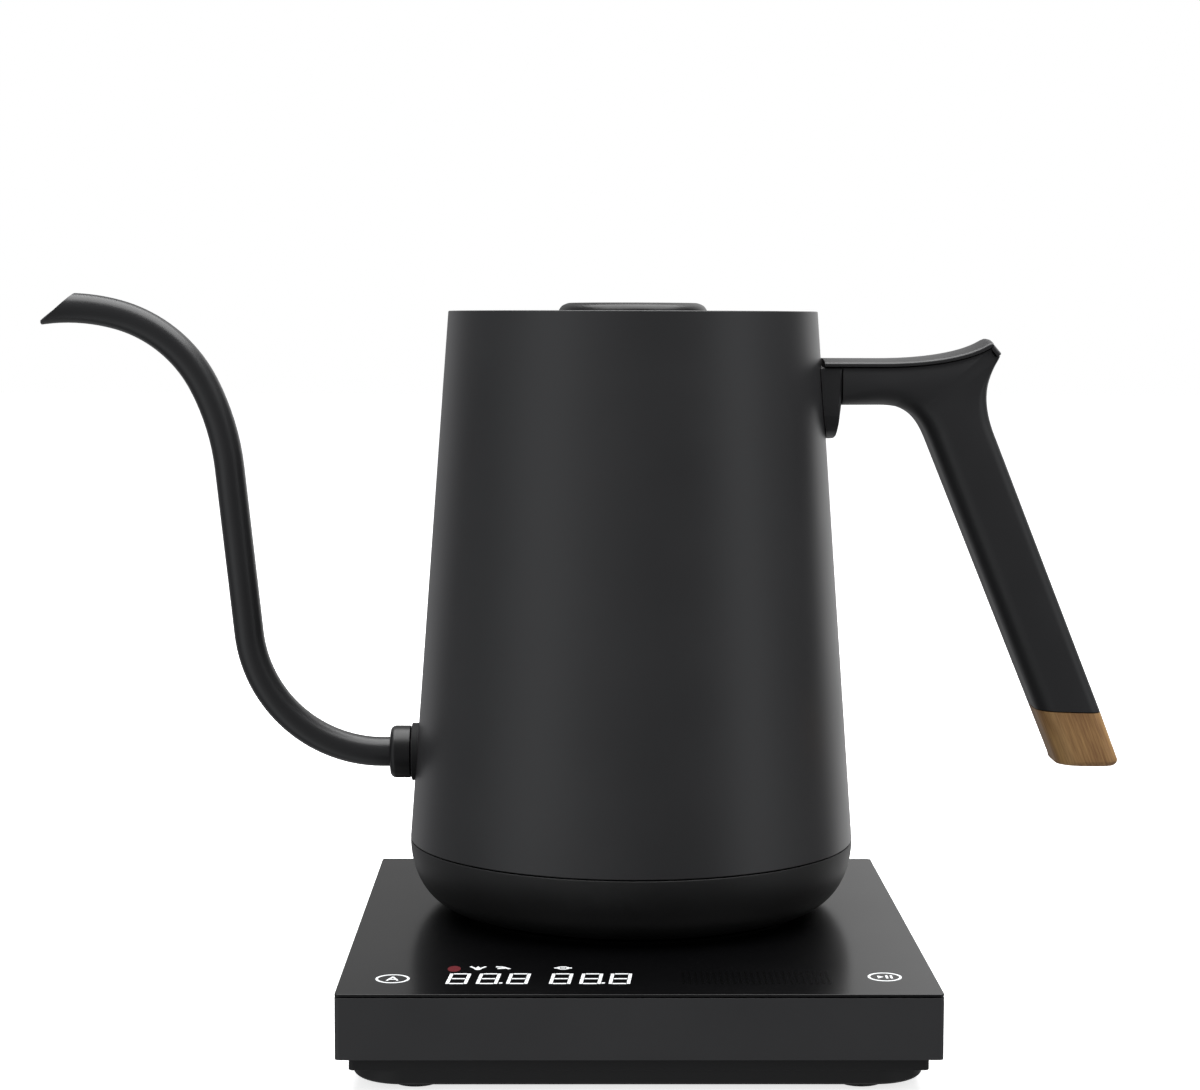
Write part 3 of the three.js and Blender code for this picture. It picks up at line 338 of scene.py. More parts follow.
# Rings of points, each extruded from the one before, with both ends capped.
def loft(rings):
    bm = bmesh.new()
    count = len(rings[0])
    current = [bm.verts.new(point) for point in rings[0]]
    edges = [bm.edges.new((current[i], current[(i + 1) % count])) for i in range(count)]
    bmesh.ops.contextual_create(bm, geom=edges)
    for ring in rings[1:]:
        made = bmesh.ops.extrude_edge_only(bm, edges=edges)["geom"]
        newVerts = [g for g in made if isinstance(g, bmesh.types.BMVert)]
        partner = {}
        for v in newVerts:
            for edge in v.link_edges:
                partner.setdefault(edge.other_vert(v), v)
        current = [partner[v] for v in current]
        for v, point in zip(current, ring):
            v.co = point
        edges = [bm.edges.get((current[i], current[(i + 1) % count])) for i in range(count)]
    bmesh.ops.contextual_create(bm, geom=edges)
    bmesh.ops.recalc_face_normals(bm, faces=bm.faces)
    return bm


# Section of a handle: across it from one side to the other, with its own rounding on each side.
# An arch makes the far side lower towards the handle's two faces.
def handleSection(width, half, roundNear, roundFar, crown, arch):
    arcSteps, faceSteps = 7, 4
    near = min(roundNear, width * 0.49)
    far = min(roundFar, width * 0.49)
    side = [(0, (half - near) * k / 2) for k in (0, 1)]
    for k in range(arcSteps + 1):
        turn = math.pi / 2 * k / arcSteps
        side.append((near - near * math.cos(turn), half - near + near * math.sin(turn)))
    for k in range(1, faceSteps):
        side.append((near + (width - near - far) * k / faceSteps, half))
    for k in range(arcSteps + 1):
        turn = math.pi / 2 * k / arcSteps
        side.append((width - far + far * math.sin(turn), half - far + far * math.cos(turn)))
    side += [(width, (half - far) * k / 5) for k in (4, 3, 2, 1, 0)]
    shaped = []
    for s, y in side:
        off = 2 * s / width - 1
        shaped.append((s - arch * s / width * (y / half) ** 2, y * (1 - crown / half * off * off)))
    return shaped + [(s, -y) for s, y in reversed(shaped[1:-1])]


def bezier(p0, p1, p2, p3, count):
    points = []
    for i in range(count + 1):
        t = i / count
        a, b, c, d = (1 - t) ** 3, 3 * t * (1 - t) ** 2, 3 * t * t * (1 - t), t ** 3
        points.append((a * p0[0] + b * p1[0] + c * p2[0] + d * p3[0],
                       a * p0[1] + b * p1[1] + c * p2[1] + d * p3[1]))
    return points


# Points evenly spaced along an open line.
def evenly(line, count):
    lengths = [0.0]
    for a, b in zip(line, line[1:]):
        lengths.append(lengths[-1] + math.dist(a, b))
    made, k = [], 0
    for i in range(count):
        want = lengths[-1] * i / (count - 1)
        while k < len(line) - 2 and lengths[k + 1] < want:
            k += 1
        share = (want - lengths[k]) / max(lengths[k + 1] - lengths[k], 1e-9)
        made.append((line[k][0] + share * (line[k + 1][0] - line[k][0]),
                     line[k][1] + share * (line[k + 1][1] - line[k][1])))
    return made


# The place is in mm from the kettle's axis at floor level, and the turns are in radians.
camera = {"fromAxis": (-15.315, -698.18, 180.27), "yaw": 0.0096, "pitch": 0.0844, "roll": 0.0025,
          "lens": 78.2, "sensor": 36}


def buildCamera(s):
    data = bpy.data.cameras.new("camera")
    data.lens = s["lens"]
    data.sensor_width = s["sensor"]
    data.clip_start = 0.01
    made = bpy.data.objects.new("camera", data)
    bpy.context.scene.collection.objects.link(made)
    yaw, pitch, roll = s["yaw"], s["pitch"], s["roll"]
    level = math.cos(pitch)
    forward = Vector((math.sin(yaw) * level, math.cos(yaw) * level, -math.sin(pitch)))
    right = Vector((math.cos(yaw), -math.sin(yaw), 0))
    up = right.cross(forward)
    across = math.cos(roll) * right + math.sin(roll) * up
    upright = math.cos(roll) * up - math.sin(roll) * right
    turn = Matrix((across, upright, -forward)).transposed()
    made.matrix_world = Matrix.Translation((axis + Vector(s["fromAxis"])) * mm) @ turn.to_4x4()
    bpy.context.scene.camera = made


buildCamera(camera)


studio = {
    "floorSize": 12.0, "floorGlow": 0.75,
    "surround": [  # share of a turn, and its grey
        (0.00, "#909090"), (0.10, "#b4b4b6"), (0.17, "#747476"), (0.24, "#707274"), (0.36, "#e2e4e6"),
        (0.45, "#9c9c9e"), (0.53, "#6c6c6e"), (0.60, "#6a6a6c"), (0.68, "#e6e8ea"), (0.75, "#8a8a8c"),
        (0.83, "#3c3c3c"), (0.885, "#ffffff"), (0.95, "#ffffff"), (1.0, "#a0a0a0")],
    "surroundStrength": 1.0,
    "overhead": {"place": (0.1, 0.1, 1.5), "aim": (0.1, 0.1, 0), "size": (2.0, 1.6), "power": 46},
}


def buildOverhead(s):
    data = bpy.data.lights.new("overhead", "AREA")
    data.shape = "RECTANGLE"
    data.size, data.size_y = s["size"]
    data.energy = s["power"]
    made = bpy.data.objects.new("overhead", data)
    bpy.context.scene.collection.objects.link(made)
    made.location = s["place"]
    made.rotation_mode = "QUATERNION"
    made.rotation_quaternion = (Vector(s["aim"]) - Vector(s["place"])).to_track_quat("-Z", "Y")
    made.visible_camera = False


def buildStudio(s):
    world = bpy.data.worlds.new("studio")
    bpy.context.scene.world = world
    world.use_nodes = True
    tree = world.node_tree
    tree.nodes.clear()
    out = tree.nodes.new("ShaderNodeOutputWorld")
    direction = tree.nodes.new("ShaderNodeTexCoord").outputs["Generated"]
    split = addNode(tree, "ShaderNodeSeparateXYZ", {}, {"Vector": direction})
    turn = addNode(tree, "ShaderNodeMath", {"operation": "ARCTAN2"}, {
        0: split.outputs["X"], 1: split.outputs["Y"]})
    # ARCTAN2 is 0 straight behind the kettle and grows to the right.
    share = addNode(tree, "ShaderNodeMapRange", {"clamp": False}, {
        "Value": turn.outputs["Value"], "From Min": -math.pi, "From Max": math.pi,
        "To Min": 0, "To Max": 1})
    flipped = addNode(tree, "ShaderNodeMath", {"operation": "ADD"}, {
        0: share.outputs["Result"], 1: 0.5})
    wrapped = addNode(tree, "ShaderNodeMath", {"operation": "FRACT"}, {0: flipped.outputs["Value"]})
    mirrored = addNode(tree, "ShaderNodeMath", {"operation": "SUBTRACT"}, {
        0: 1.0, 1: wrapped.outputs["Value"]})
    bands = addNode(tree, "ShaderNodeValToRGB", {}, {"Fac": mirrored.outputs["Value"]})
    bands.color_ramp.interpolation = "EASE"
    rampStops(bands, s["surround"])
    ring = addNode(tree, "ShaderNodeBackground", {}, {
        "Color": bands.outputs["Color"], "Strength": s["surroundStrength"]})
    white = addNode(tree, "ShaderNodeBackground", {}, {"Color": (1, 1, 1, 1), "Strength": 1.0})
    seen = tree.nodes.new("ShaderNodeLightPath").outputs["Is Camera Ray"]
    mix = addNode(tree, "ShaderNodeMixShader", {}, {
        0: seen, 1: ring.outputs["Background"], 2: white.outputs["Background"]})
    tree.links.new(mix.outputs["Shader"], out.inputs["Surface"])

    bm = bmesh.new()
    bmesh.ops.create_grid(bm, x_segments=2, y_segments=2, size=s["floorSize"] / 2)
    mesh = bpy.data.meshes.new("floor")
    bm.to_mesh(mesh)
    bm.free()
    floor = bpy.data.objects.new("floor", mesh)
    bpy.context.scene.collection.objects.link(floor)
    paint, tree, shader = startMaterial("studio_floor_opal_acrylic_lit", "#f6f6f6")
    setInputs(tree, shader, {
        "Base Color": hexToLinear("#f6f6f6"), "Roughness": 0.9, "Specular IOR Level": 0.0,
        "Emission Color": (1, 1, 1, 1), "Emission Strength": s["floorGlow"]})
    mesh.materials.append(paint)
    floor.visible_glossy = False
    floor.visible_diffuse = False
    buildOverhead(s["overhead"])
    bpy.context.scene.view_settings.view_transform = "Standard"


buildStudio(studio)
print("camera, floor and lights placed")


shell = {"seamRadius": 59.6, "rimRadius": 49.16, "seam": 42.4, "gap": 0.15, "wall": 1.0,
         "seamRound": 0.22, "rimRound": 0.28, "ledgeTop": 179.5, "ledgeReach": 2.1,
         "ledgeThickness": 1.6, "ledgeRound": 0.3, "ledgeSlope": 1, "steps": 160}


def wallAt(height):
    s = shell
    share = (height - s["seam"]) / (rim - s["seam"])
    return s["seamRadius"] + share * (s["rimRadius"] - s["seamRadius"])


def buildShell(s):
    low = s["seam"] + s["gap"]
    ledge, ledgeLow = s["ledgeTop"], s["ledgeTop"] - s["ledgeThickness"]
    taperEnd = ledgeLow - s["ledgeSlope"]
    profile = [
        (wallAt(low), low, s["seamRound"]),
        (wallAt(rim), rim, s["rimRound"]),
        (wallAt(rim) - s["wall"], rim, s["rimRound"]),
        (wallAt(ledge) - s["wall"], ledge),
        (wallAt(ledge) - s["wall"] - s["ledgeReach"], ledge, s["ledgeRound"]),
        (wallAt(ledgeLow) - s["wall"] - s["ledgeReach"], ledgeLow, s["ledgeRound"]),
        (wallAt(taperEnd) - s["wall"], taperEnd),
        (wallAt(low) - s["wall"], low)]
    bm = lathe(profile, axis, s["steps"], closed=True)
    # The powder stops at the rim, and the steel inside is bare.
    middle = axis * mm
    for face in bm.faces:
        spot = face.calc_center_median()
        away = Vector((spot.x - middle.x, spot.y - middle.y, 0))
        inside = away.length < (wallAt(spot.z / mm) - 0.75 * s["wall"]) * mm
        bare = inside and (face.normal.dot(away) < 0 or abs(face.normal.z) > 0.7)
        face.material_index = 1 if bare else 0
    finishPiece(bm, "kettleBody", [finishes["powderCoat"], finishes["stainless"]], "kettle",
                ["body_shell"], sharp=50)


buildShell(shell)

cup = {"foot": 25.1, "footRadius": 47.7, "height": 17.3, "wall": 1.8, "opening": 20.6,
       "openingRound": 0.4, "topRound": 0.25, "clear": 0.6, "steps": 160}


# A quarter of an ellipse from the foot up to the seam.
def cupLine(s, inset, count):
    reach = shell["seamRadius"] - s["footRadius"] - inset
    rise = s["height"] - inset
    line = []
    for i in range(count + 1):
        turn = math.pi / 2 * i / count
        line.append((s["footRadius"] + reach * math.sin(turn), shell["seam"] - rise * math.cos(turn)))
    return line


def buildCup(s):
    top = shell["seam"] - shell["gap"]
    outside = [p for p in cupLine(s, 0, 20) if p[1] < top - s["clear"]]
    inside = [p for p in cupLine(s, s["wall"], 12) if p[1] < top - s["clear"]]
    profile = [(s["opening"], s["foot"], s["openingRound"])] + outside
    profile += [(shell["seamRadius"], top, s["topRound"]), (shell["seamRadius"] - s["wall"], top)]
    profile += inside[::-1] + [(s["opening"], s["foot"] + s["wall"], s["openingRound"])]
    bm = lathe(profile, axis, s["steps"], closed=True)
    finishPiece(bm, "bottomCup", finishes["cupPlastic"], "kettle", ["bottom_cup"], sharp=40)


buildCup(cup)
print("kettle body and bottom cup made")


# A bend is given by its radius in mm and its turn in degrees, upwards first.
spout = {
    "start": -52.02, "height": 65.1, "radius": 3.96, "wall": 0.8, "sides": 40, "stepAngle": 2.5,
    "stepLength": 15, "lip": 42.4, "lipRound": 0.22,
    "bends": [("straight", 15.2), ("bend", 36, 83.8), ("straight", 44.8), ("bend", 64.5, -20.8),
              ("bend", 36.25, -47.7), ("bend", 50, -22.8), ("straight", 1.0)],
}


def buildSpout(s):
    bm = bmesh.new()
    ring = bmesh.ops.create_circle(bm, segments=s["sides"], radius=s["radius"] * mm)["verts"]
    bmesh.ops.rotate(bm, verts=ring, cent=(0, 0, 0), matrix=Matrix.Rotation(math.pi / 2, 3, "Y"))
    place = Vector((s["start"], 0, s["height"])) * mm
    bmesh.ops.translate(bm, verts=ring, vec=place)
    edges = list(bm.edges)
    heading = 0.0
    for bend in s["bends"]:
        if bend[0] == "straight":
            count = max(1, round(bend[1] / s["stepLength"]))
            step = Vector((-math.cos(heading), 0, math.sin(heading))) * bend[1] / count * mm
        else:
            count = max(2, round(abs(bend[2]) / s["stepAngle"]))
            angle = math.radians(bend[2]) / count
            side = math.copysign(bend[1], bend[2]) * mm
            pivot = place + Vector((math.sin(heading), 0, math.cos(heading))) * side
            turn = Matrix.Rotation(angle, 3, "Y")
        for _ in range(count):
            made = bmesh.ops.extrude_edge_only(bm, edges=edges)["geom"]
            verts = [g for g in made if isinstance(g, bmesh.types.BMVert)]
            edges = [g for g in made if isinstance(g, bmesh.types.BMEdge) and all(v in verts for v in g.verts)]
            if bend[0] == "straight":
                bmesh.ops.translate(bm, verts=verts, vec=step)
                place = place + step
            else:
                bmesh.ops.rotate(bm, verts=verts, cent=pivot, matrix=turn)
                place = pivot + turn @ (place - pivot)
                heading += angle
    # The mouth is sawn off level with the lower lip and rising towards the kettle.
    slope = math.radians(s["lip"])
    lowLip = place - Vector((0, 0, s["radius"] * mm))
    bmesh.ops.bisect_plane(bm, geom=bm.verts[:] + bm.edges[:] + bm.faces[:], plane_co=lowLip,
                           plane_no=(-math.sin(slope), 0, math.cos(slope)), clear_outer=True)
    bmesh.ops.recalc_face_normals(bm, faces=bm.faces)
    bmesh.ops.translate(bm, verts=bm.verts, vec=axis * mm)
    # The tube is open, so its faces are turned away from the plane it is bent in.
    outward = sum(f.normal.y * (f.calc_center_median().y - axis.y * mm) for f in bm.faces)
    if outward < 0:
        bmesh.ops.reverse_faces(bm, faces=bm.faces)
    piece = finishPiece(bm, "spoutTube", finishes["spoutCoat"], "kettle", ["spout_tube"],
                        weighted=False)
    wall = piece.modifiers.new("wall", "SOLIDIFY")
    wall.thickness = s["wall"] * mm
    wall.offset = -1
    lipEdge = piece.modifiers.new("lipRound", "BEVEL")
    lipEdge.width = s["lipRound"] * mm
    lipEdge.segments = 3
    lipEdge.limit_method = "ANGLE"
    lipEdge.angle_limit = math.radians(50)
    evenShading(piece)


buildSpout(spout)

collar = {"radius": 7.05, "bore": 4.25, "face": -65.02, "back": -59.5, "frontRound": 1.5, "washer": 7.75,
          "washerFace": -59.22, "washerInside": -56.8}


def buildCollar(s):
    profile = [(s["bore"], s["face"], 0.2), (s["radius"], s["face"], s["frontRound"]),
               (s["radius"], s["back"], 0.25), (s["bore"], s["back"])]
    bm = lathe(profile, (0, 0, 0), 72, closed=True)
    washer = [(s["bore"], s["washerFace"]), (s["washer"], s["washerFace"], 0.25),
              (s["washer"], s["washerInside"]), (s["bore"], s["washerInside"])]
    seal = lathe(washer, (0, 0, 0), 72, closed=True)
    for one in (bm, seal):
        bmesh.ops.rotate(one, verts=one.verts, cent=(0, 0, 0), matrix=Matrix.Rotation(math.pi / 2, 3, "Y"))
        bmesh.ops.translate(one, verts=one.verts, vec=(axis + Vector((0, 0, spout["height"]))) * mm)
        bmesh.ops.recalc_face_normals(one, faces=one.faces)
    finishPiece(bm, "spoutCollar", finishes["collarPlastic"], "kettle", ["spout_collar"],
                sharp=40)
    finishPiece(seal, "spoutWasher", finishes["silicone"], "kettle", ["spout_washer"], sharp=40)


buildCollar(collar)
print("spout and collar made")


lid = {"radius": 47.86, "top": 183.3, "thickness": 2.0, "recess": 41.0, "floor": 175.0, "slope": 3.0,
       "hole": 1.7, "steps": 128}


def buildLid(s):
    low = s["floor"] - s["thickness"]
    under = s["top"] - s["thickness"]
    profile = [
        (s["hole"], low), (s["recess"] - s["slope"], low, 0.6),
        (s["recess"] + 0.6, s["floor"] + 0.8, 0.4),
        (s["recess"] + 2, under, 0.3), (s["radius"], under, 0.2), (s["radius"], s["top"], 0.35),
        (s["recess"], s["top"], 0.7), (s["recess"] - s["slope"] + 0.6, s["floor"] + 0.8, 0.6),
        (s["recess"] - s["slope"] - 0.6, s["floor"], 0.5), (s["hole"], s["floor"])]
    bm = lathe(profile, axis, s["steps"], closed=True)
    finishPiece(bm, "lidPlate", finishes["lidPlastic"], "lid", ["lid_plate"], sharp=40)


buildLid(lid)

knob = {"radius": 19.85, "top": 186.0, "bottom": 175.3, "neck": 12.5, "hole": 1.7, "steps": 96}


def buildKnob(s):
    top, radius = s["top"], s["radius"]
    profile = [
        (0, top), (radius - 2.6, top, 0.5), (radius - 0.9, top - 0.7, 0.6), (radius, top - 2, 0.6),
        (radius, top - 5, 0.5), (radius - 1, top - 6.2, 0.5), (s["neck"] + 1.5, top - 7.4, 0.8),
        (s["neck"], top - 9, 0.8), (s["neck"], s["bottom"], 0.2), (s["hole"], s["bottom"]),
        (s["hole"], top - 4), (0, top - 4)]
    bm = lathe(profile, axis, s["steps"])
    finishPiece(bm, "lidKnob", finishes["collarPlastic"], "lid", ["lid_knob"], sharp=40)


buildKnob(knob)
print("lid made")


# Points are (mm out from the wall, mm up from the arm's top).
handle = {
    "half": 11.0, "armHeight": 171.5, "armStart": 5.21, "coverStart": 0.4, "coverDepth": 2.2,
    "coverRound": 0.9, "coverUnderRound": 0.2, "coverArch": 1.1, "shutLine": 0.17,
    "topEnd": (15.1, 0), "topPull": [(29, 0), (39.8, 2.0)], "peak": (44.4, 5.7), "hook": (47.6, 1.9),
    "backPull": [(42.4, -5.8), (42.6, -12.8)], "backStart": (46.4, -21.6), "backEnd": (75.3, -94.1),
    "frontEnd": (58.1, -93.6), "frontStart": (29, -22.1), "frontPull": [(26.2, -15.3), (23.5, -12.3)],
    "underArm": (15, -12.3),
    "roundFront": 5.5, "roundArm": 2.6, "roundBack": 3.2, "roundCover": 0.3, "crown": 0.7,
}
handleRoot = Vector((axis.x + wallAt(handle["armHeight"]), axis.y, handle["armHeight"]))


def onHandle(u, y, v):
    return (handleRoot + Vector((u, y, v))) * mm


# One station of the handle: a section drawn across from the front line to the back line.
def stationRing(near, far, half, roundNear, roundFar, crown, arch=0.0):
    width = math.dist(near, far)
    along = ((far[0] - near[0]) / width, (far[1] - near[1]) / width)
    ring = handleSection(width, half, roundNear, roundFar, crown, arch)
    return [onHandle(near[0] + along[0] * s, y, near[1] + along[1] * s) for s, y in ring]


# A line moved sideways, with its corners kept.
def shiftedLine(line, distance):
    made = []
    for i, point in enumerate(line):
        before, after = line[max(i - 1, 0)], line[min(i + 1, len(line) - 1)]
        d1 = Vector((point[0] - before[0], point[1] - before[1]))
        d2 = Vector((after[0] - point[0], after[1] - point[1]))
        if d1.length < 1e-9:
            d1 = d2
        if d2.length < 1e-9:
            d2 = d1
        d1.normalize()
        d2.normalize()
        mean = (d1 + d2).normalized()
        reach = distance / max(mean.dot(d1), 0.5)
        made.append((point[0] + mean.y * reach, point[1] - mean.x * reach))
    return made


# The corner at the peak and the hook is eased, as a moulding is.
def easedLine(line, corner, radius):
    here = Vector(line[corner])
    a = here + (Vector(line[corner - 1]) - here).normalized() * radius
    b = here + (Vector(line[corner + 1]) - here).normalized() * radius
    arc = []
    for i in range(6):
        t = i / 5
        arc.append(tuple((1 - t) ** 2 * a + 2 * t * (1 - t) * here + t * t * b))
    # Points within the corner's reach would fold the line back.
    before = [p for p in line[:corner] if math.dist(p, here) > radius + 0.1]
    return before + arc + [p for p in line[corner + 1:] if math.dist(p, here) > radius + 0.1]


# The cover strip, and the two lines that the grip is drawn between.
def buildCover(s):
    top = [(s["coverStart"], 0), s["topEnd"]] + bezier(s["topEnd"], *s["topPull"], s["peak"], 24)[1:]
    coverOuter = easedLine(top + [s["hook"]], len(top) - 1, 1.3)
    depth = s["coverDepth"]
    coverInner = shiftedLine(top + [s["hook"]], depth)
    gripTop = shiftedLine(top + [s["hook"]], depth + s["shutLine"])
    back = bezier(s["hook"], *s["backPull"], s["backStart"], 20)

    # The cover: a strip with soft outer edges, along the arm and down the hook's end.
    count = 70
    outer = evenly(coverOuter, count)
    inner = evenly(easedLine(coverInner, len(coverInner) - 2, 0.5), count)
    rings = []
    for low, high in zip(inner, outer):
        rings.append(stationRing(low, high, s["half"], s["coverUnderRound"], s["coverRound"], 0.0,
                                 s["coverArch"]))
    finishPiece(loft(rings), "handleTopCover", finishes["handlePlastic"], "kettle",
                ["handle_top_cover"], sharp=38)

    # The grip runs from the arm's end, round the elbow, down to the wooden tip.
    start = s["armStart"]
    frontLine = [(start, s["underArm"][1]), s["underArm"]]
    frontLine += bezier(s["underArm"], *reversed(s["frontPull"]), s["frontStart"], 20)[1:]
    frontLine.append(s["frontEnd"])
    trimmed = [p for p in gripTop if p[0] > start + 0.01]
    backLine = [(start, trimmed[0][1])] + trimmed + back[1:] + [s["backEnd"]]
    return frontLine, backLine


handleLines = buildCover(handle)


# Stations that share the way round the elbow: along the arm, fanned over the hook, then down the grip.
def buildGrip(s, lines):
    frontLine, backLine = lines
    elbow = (s["underArm"][0], backLine[0][1])
    turnPart = [elbow] + [p for p in backLine[1:-1] if p[0] > elbow[0]]
    parts = ((frontLine[:2], [backLine[0], elbow], 10), (frontLine[1:-1], turnPart, 44),
             (frontLine[-2:], backLine[-2:], 26))
    front, rear = [], []
    for frontPart, rearPart, count in parts:  # each part starts where the one before ended
        front = front[:-1] + evenly(frontPart, count)
        rear = rear[:-1] + evenly(rearPart, count)
    rings = []
    for near, far in zip(front, rear):
        # The back is nearly square under the cover and rounds off below it, and the front rounds off
        # along the arm.
        clear = min(max((1.5 - far[1]) / 9, 0), 1) if far[0] > 43 else 0
        roundFar = s["roundCover"] + (s["roundBack"] - s["roundCover"]) * clear
        reach = min(max((near[0] - s["armStart"]) / 14, 0), 1)
        roundNear = s["roundArm"] + (s["roundFront"] - s["roundArm"]) * reach
        rings.append(stationRing(near, far, s["half"], roundNear, roundFar, s["crown"]))
    finishPiece(loft(rings), "handleGrip", finishes["handlePlastic"], "kettle",
                ["handle_grip"], sharp=38)


buildGrip(handle, handleLines)

# The two shade values paint shade on the tip's side towards the kettle and light on its outer side.
woodTip = {"gap": 0.3, "frontEnd": (63.7, -107.4), "backEnd": (80.2, -107), "edgeRound": 1.2,
           "ringPitch": 3.4, "fibre": 0.6, "stretch": 0.06, "lean": -21, "phase": 1.2, "width": 17,
           "dark": "#583c31", "low": "#9a7149", "mid": "#c69c65", "light": "#e3ba88",
           "nearSidePaintedShade": -0.28, "farSidePaintedLight": 0.2, "joint": 0.25, "frontDrop": 1.2, "backDrop": 1.75}
woodTip["heart"] = tuple((handleRoot + Vector((61.5, 9, -101))) * mm)
finishes["walnut"] = walnutOiled(woodTip)


def buildTip(s, h):
    down = Vector((s["frontEnd"][0] - h["frontEnd"][0], s["frontEnd"][1] - h["frontEnd"][1]))
    down.normalize()
    gap = s["gap"]
    nearTop = (h["frontEnd"][0] + down.x * gap, h["frontEnd"][1] + down.y * gap)
    farTop = (h["backEnd"][0] + down.x * gap, h["backEnd"][1] + down.y * gap)
    nears = evenly([nearTop, s["frontEnd"]], 8)
    fars = evenly([farTop, s["backEnd"]], 8)
    soft = s["joint"]
    rounding = h["roundFront"], h["roundBack"], h["crown"]
    nearIn, farIn = (nearTop[0] + soft, nearTop[1]), (farTop[0] - soft, farTop[1])
    rings = [stationRing(nearIn, farIn, h["half"] - soft, *rounding)]
    for near, far in zip(nears, fars):
        rings.append(stationRing(near, far, h["half"], *rounding))
    # The bottom end: the sides turn in over a small round.
    edge = s["edgeRound"]
    for k in range(1, 6):
        turn = math.pi / 2 * k / 5
        inset, drop = edge * (1 - math.cos(turn)), math.sin(turn)
        near = (s["frontEnd"][0] + 0.5 * inset, s["frontEnd"][1] - s["frontDrop"] * drop)
        far = (s["backEnd"][0] - inset, s["backEnd"][1] - s["backDrop"] * drop)
        rings.append(stationRing(near, far, h["half"] - inset, *rounding))
    finishPiece(loft(rings), "woodenTip", finishes["walnut"], "kettle", ["wooden_tip"], sharp=45)


buildTip(woodTip, handle)
print("handle made")


# A moulding or a stamping drawn by its CAD node: a merged copy, given soft edges and even shading.
def fromPart(node, material, edge, segments=2):
    words = node.split("_")
    bm = bmesh.new()
    bm.from_mesh(frame["nodes"][node].data)
    bmesh.ops.remove_doubles(bm, verts=bm.verts, dist=1e-6)
    bmesh.ops.dissolve_limit(bm, angle_limit=math.radians(0.5), verts=bm.verts, edges=bm.edges)
    name = words[0] + "".join(w.capitalize() for w in words[1:])
    piece = finishPiece(bm, name, material, body_of(frame["nodes"][node])[0], [node], sharp=35,
                        weighted=False)
    soft = piece.modifiers.new("softEdges", "BEVEL")
    soft.width = edge * mm
    soft.segments = segments
    soft.limit_method = "ANGLE"
    soft.angle_limit = math.radians(40)
    evenShading(piece)


base = {"plateEdge": 0.22, "frameEdge": 0.3, "trayEdge": 0.2, "footEdge": 0.8, "footTopEdge": 0.3}
fromPart("top_plate", finishes["plateGlass"], base["plateEdge"], segments=3)
fromPart("base_frame", finishes["framePlastic"], base["frameEdge"], segments=3)
fromPart("base_tray", finishes["trayPlastic"], base["trayEdge"])


def buildFeet(s):
    for i in range(1, 5):
        low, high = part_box(f"foot_{i}")
        middle = (low + high) / 2 / mm
        radius = (high.x - low.x) / 2 / mm
        top = high.z / mm
        profile = [(0, 0), (radius, 0, s["footEdge"]), (radius, top, s["footTopEdge"]), (0, top)]
        bm = lathe(profile, (middle.x, middle.y, 0), 48)
        finishPiece(bm, f"foot{i}", finishes["silicone"], "base", [f"foot_{i}"], sharp=40)


buildFeet(base)

hub = {"radius": 15.0, "top": 32.5, "low": 12.0, "channelOuter": 10.4, "channelInner": 7.4,
       "channelFloor": 24.0, "bore": 2.4, "boreFloor": 15.0, "round": 1.0, "edge": 0.4}


def buildHub(s):
    profile = [
        (0, s["low"]), (s["radius"], s["low"]), (s["radius"], s["top"], s["round"]),
        (s["channelOuter"], s["top"], s["edge"]), (s["channelOuter"], s["channelFloor"]),
        (s["channelInner"], s["channelFloor"]), (s["channelInner"], s["top"], s["edge"]),
        (s["bore"], s["top"], s["edge"]), (s["bore"], s["boreFloor"]), (0, s["boreFloor"])]
    bm = lathe(profile, axis, 72)
    finishPiece(bm, "connectorHub", finishes["connectorPlastic"], "base",
                ["connector_hub"], sharp=40)


buildHub(hub)
print("base made")


legend = {"thickness": 0.05, "digitWidth": 5.1, "digitHeight": 10.0, "slant": 4.5, "stroke": 0.8,
          "thin": 0.38, "segmentGap": 0.2, "segmentEnd": 0.25, "flatEnd": 0.12,
          "firstGroup": [-46.0, -38.8, -31.6], "secondGroup": [-21.4, -14.2, -7.2], "digitBottom": -68.2,
          "points": [(-33.3, -67.3), (-8.9, -67.3)],
          "leftRing": (-58.8, -63.3), "rightRing": (59.3, -61.5), "ringRadius": 4.1, "ringStroke": 0.6,
          "ribs": {"first": 10.8, "last": 45.6, "count": 24, "low": -67.9, "high": -56.6, "width": 0.42},
          "heat": (-44.5, -53.7), "heatSize": (1.6, 2.8), "timer": (-18.06, -52.8), "timerRadius": 1.5}


# Flat printed shapes: polygons in base mm, given a real thickness.
def printed(name, polygons, ink):
    bm = bmesh.new()
    left, front, top = baseMiddle.x * mm, baseMiddle.y * mm, plateTop * mm + 2e-6
    for polygon in polygons:
        verts = [bm.verts.new((left + x * mm, front + y * mm, top)) for x, y in polygon]
        face = bm.faces.new(verts)
        face.normal_update()
        if face.normal.z < 0:
            face.normal_flip()
        made = bmesh.ops.extrude_face_region(bm, geom=[face])["geom"]
        lifted = [g for g in made if isinstance(g, bmesh.types.BMVert)]
        bmesh.ops.translate(bm, verts=lifted, vec=(0, 0, legend["thickness"] * mm))
    bmesh.ops.recalc_face_normals(bm, faces=bm.faces)
    finishPiece(bm, name, ink, "base", sharp=30, weighted=False)


def strokePolygon(a, b, width):
    a, b = Vector(a), Vector(b)
    along = b - a
    side = Vector((-along.y, along.x)).normalized() * width / 2
    return [tuple(a + side), tuple(a - side), tuple(b - side), tuple(b + side)]


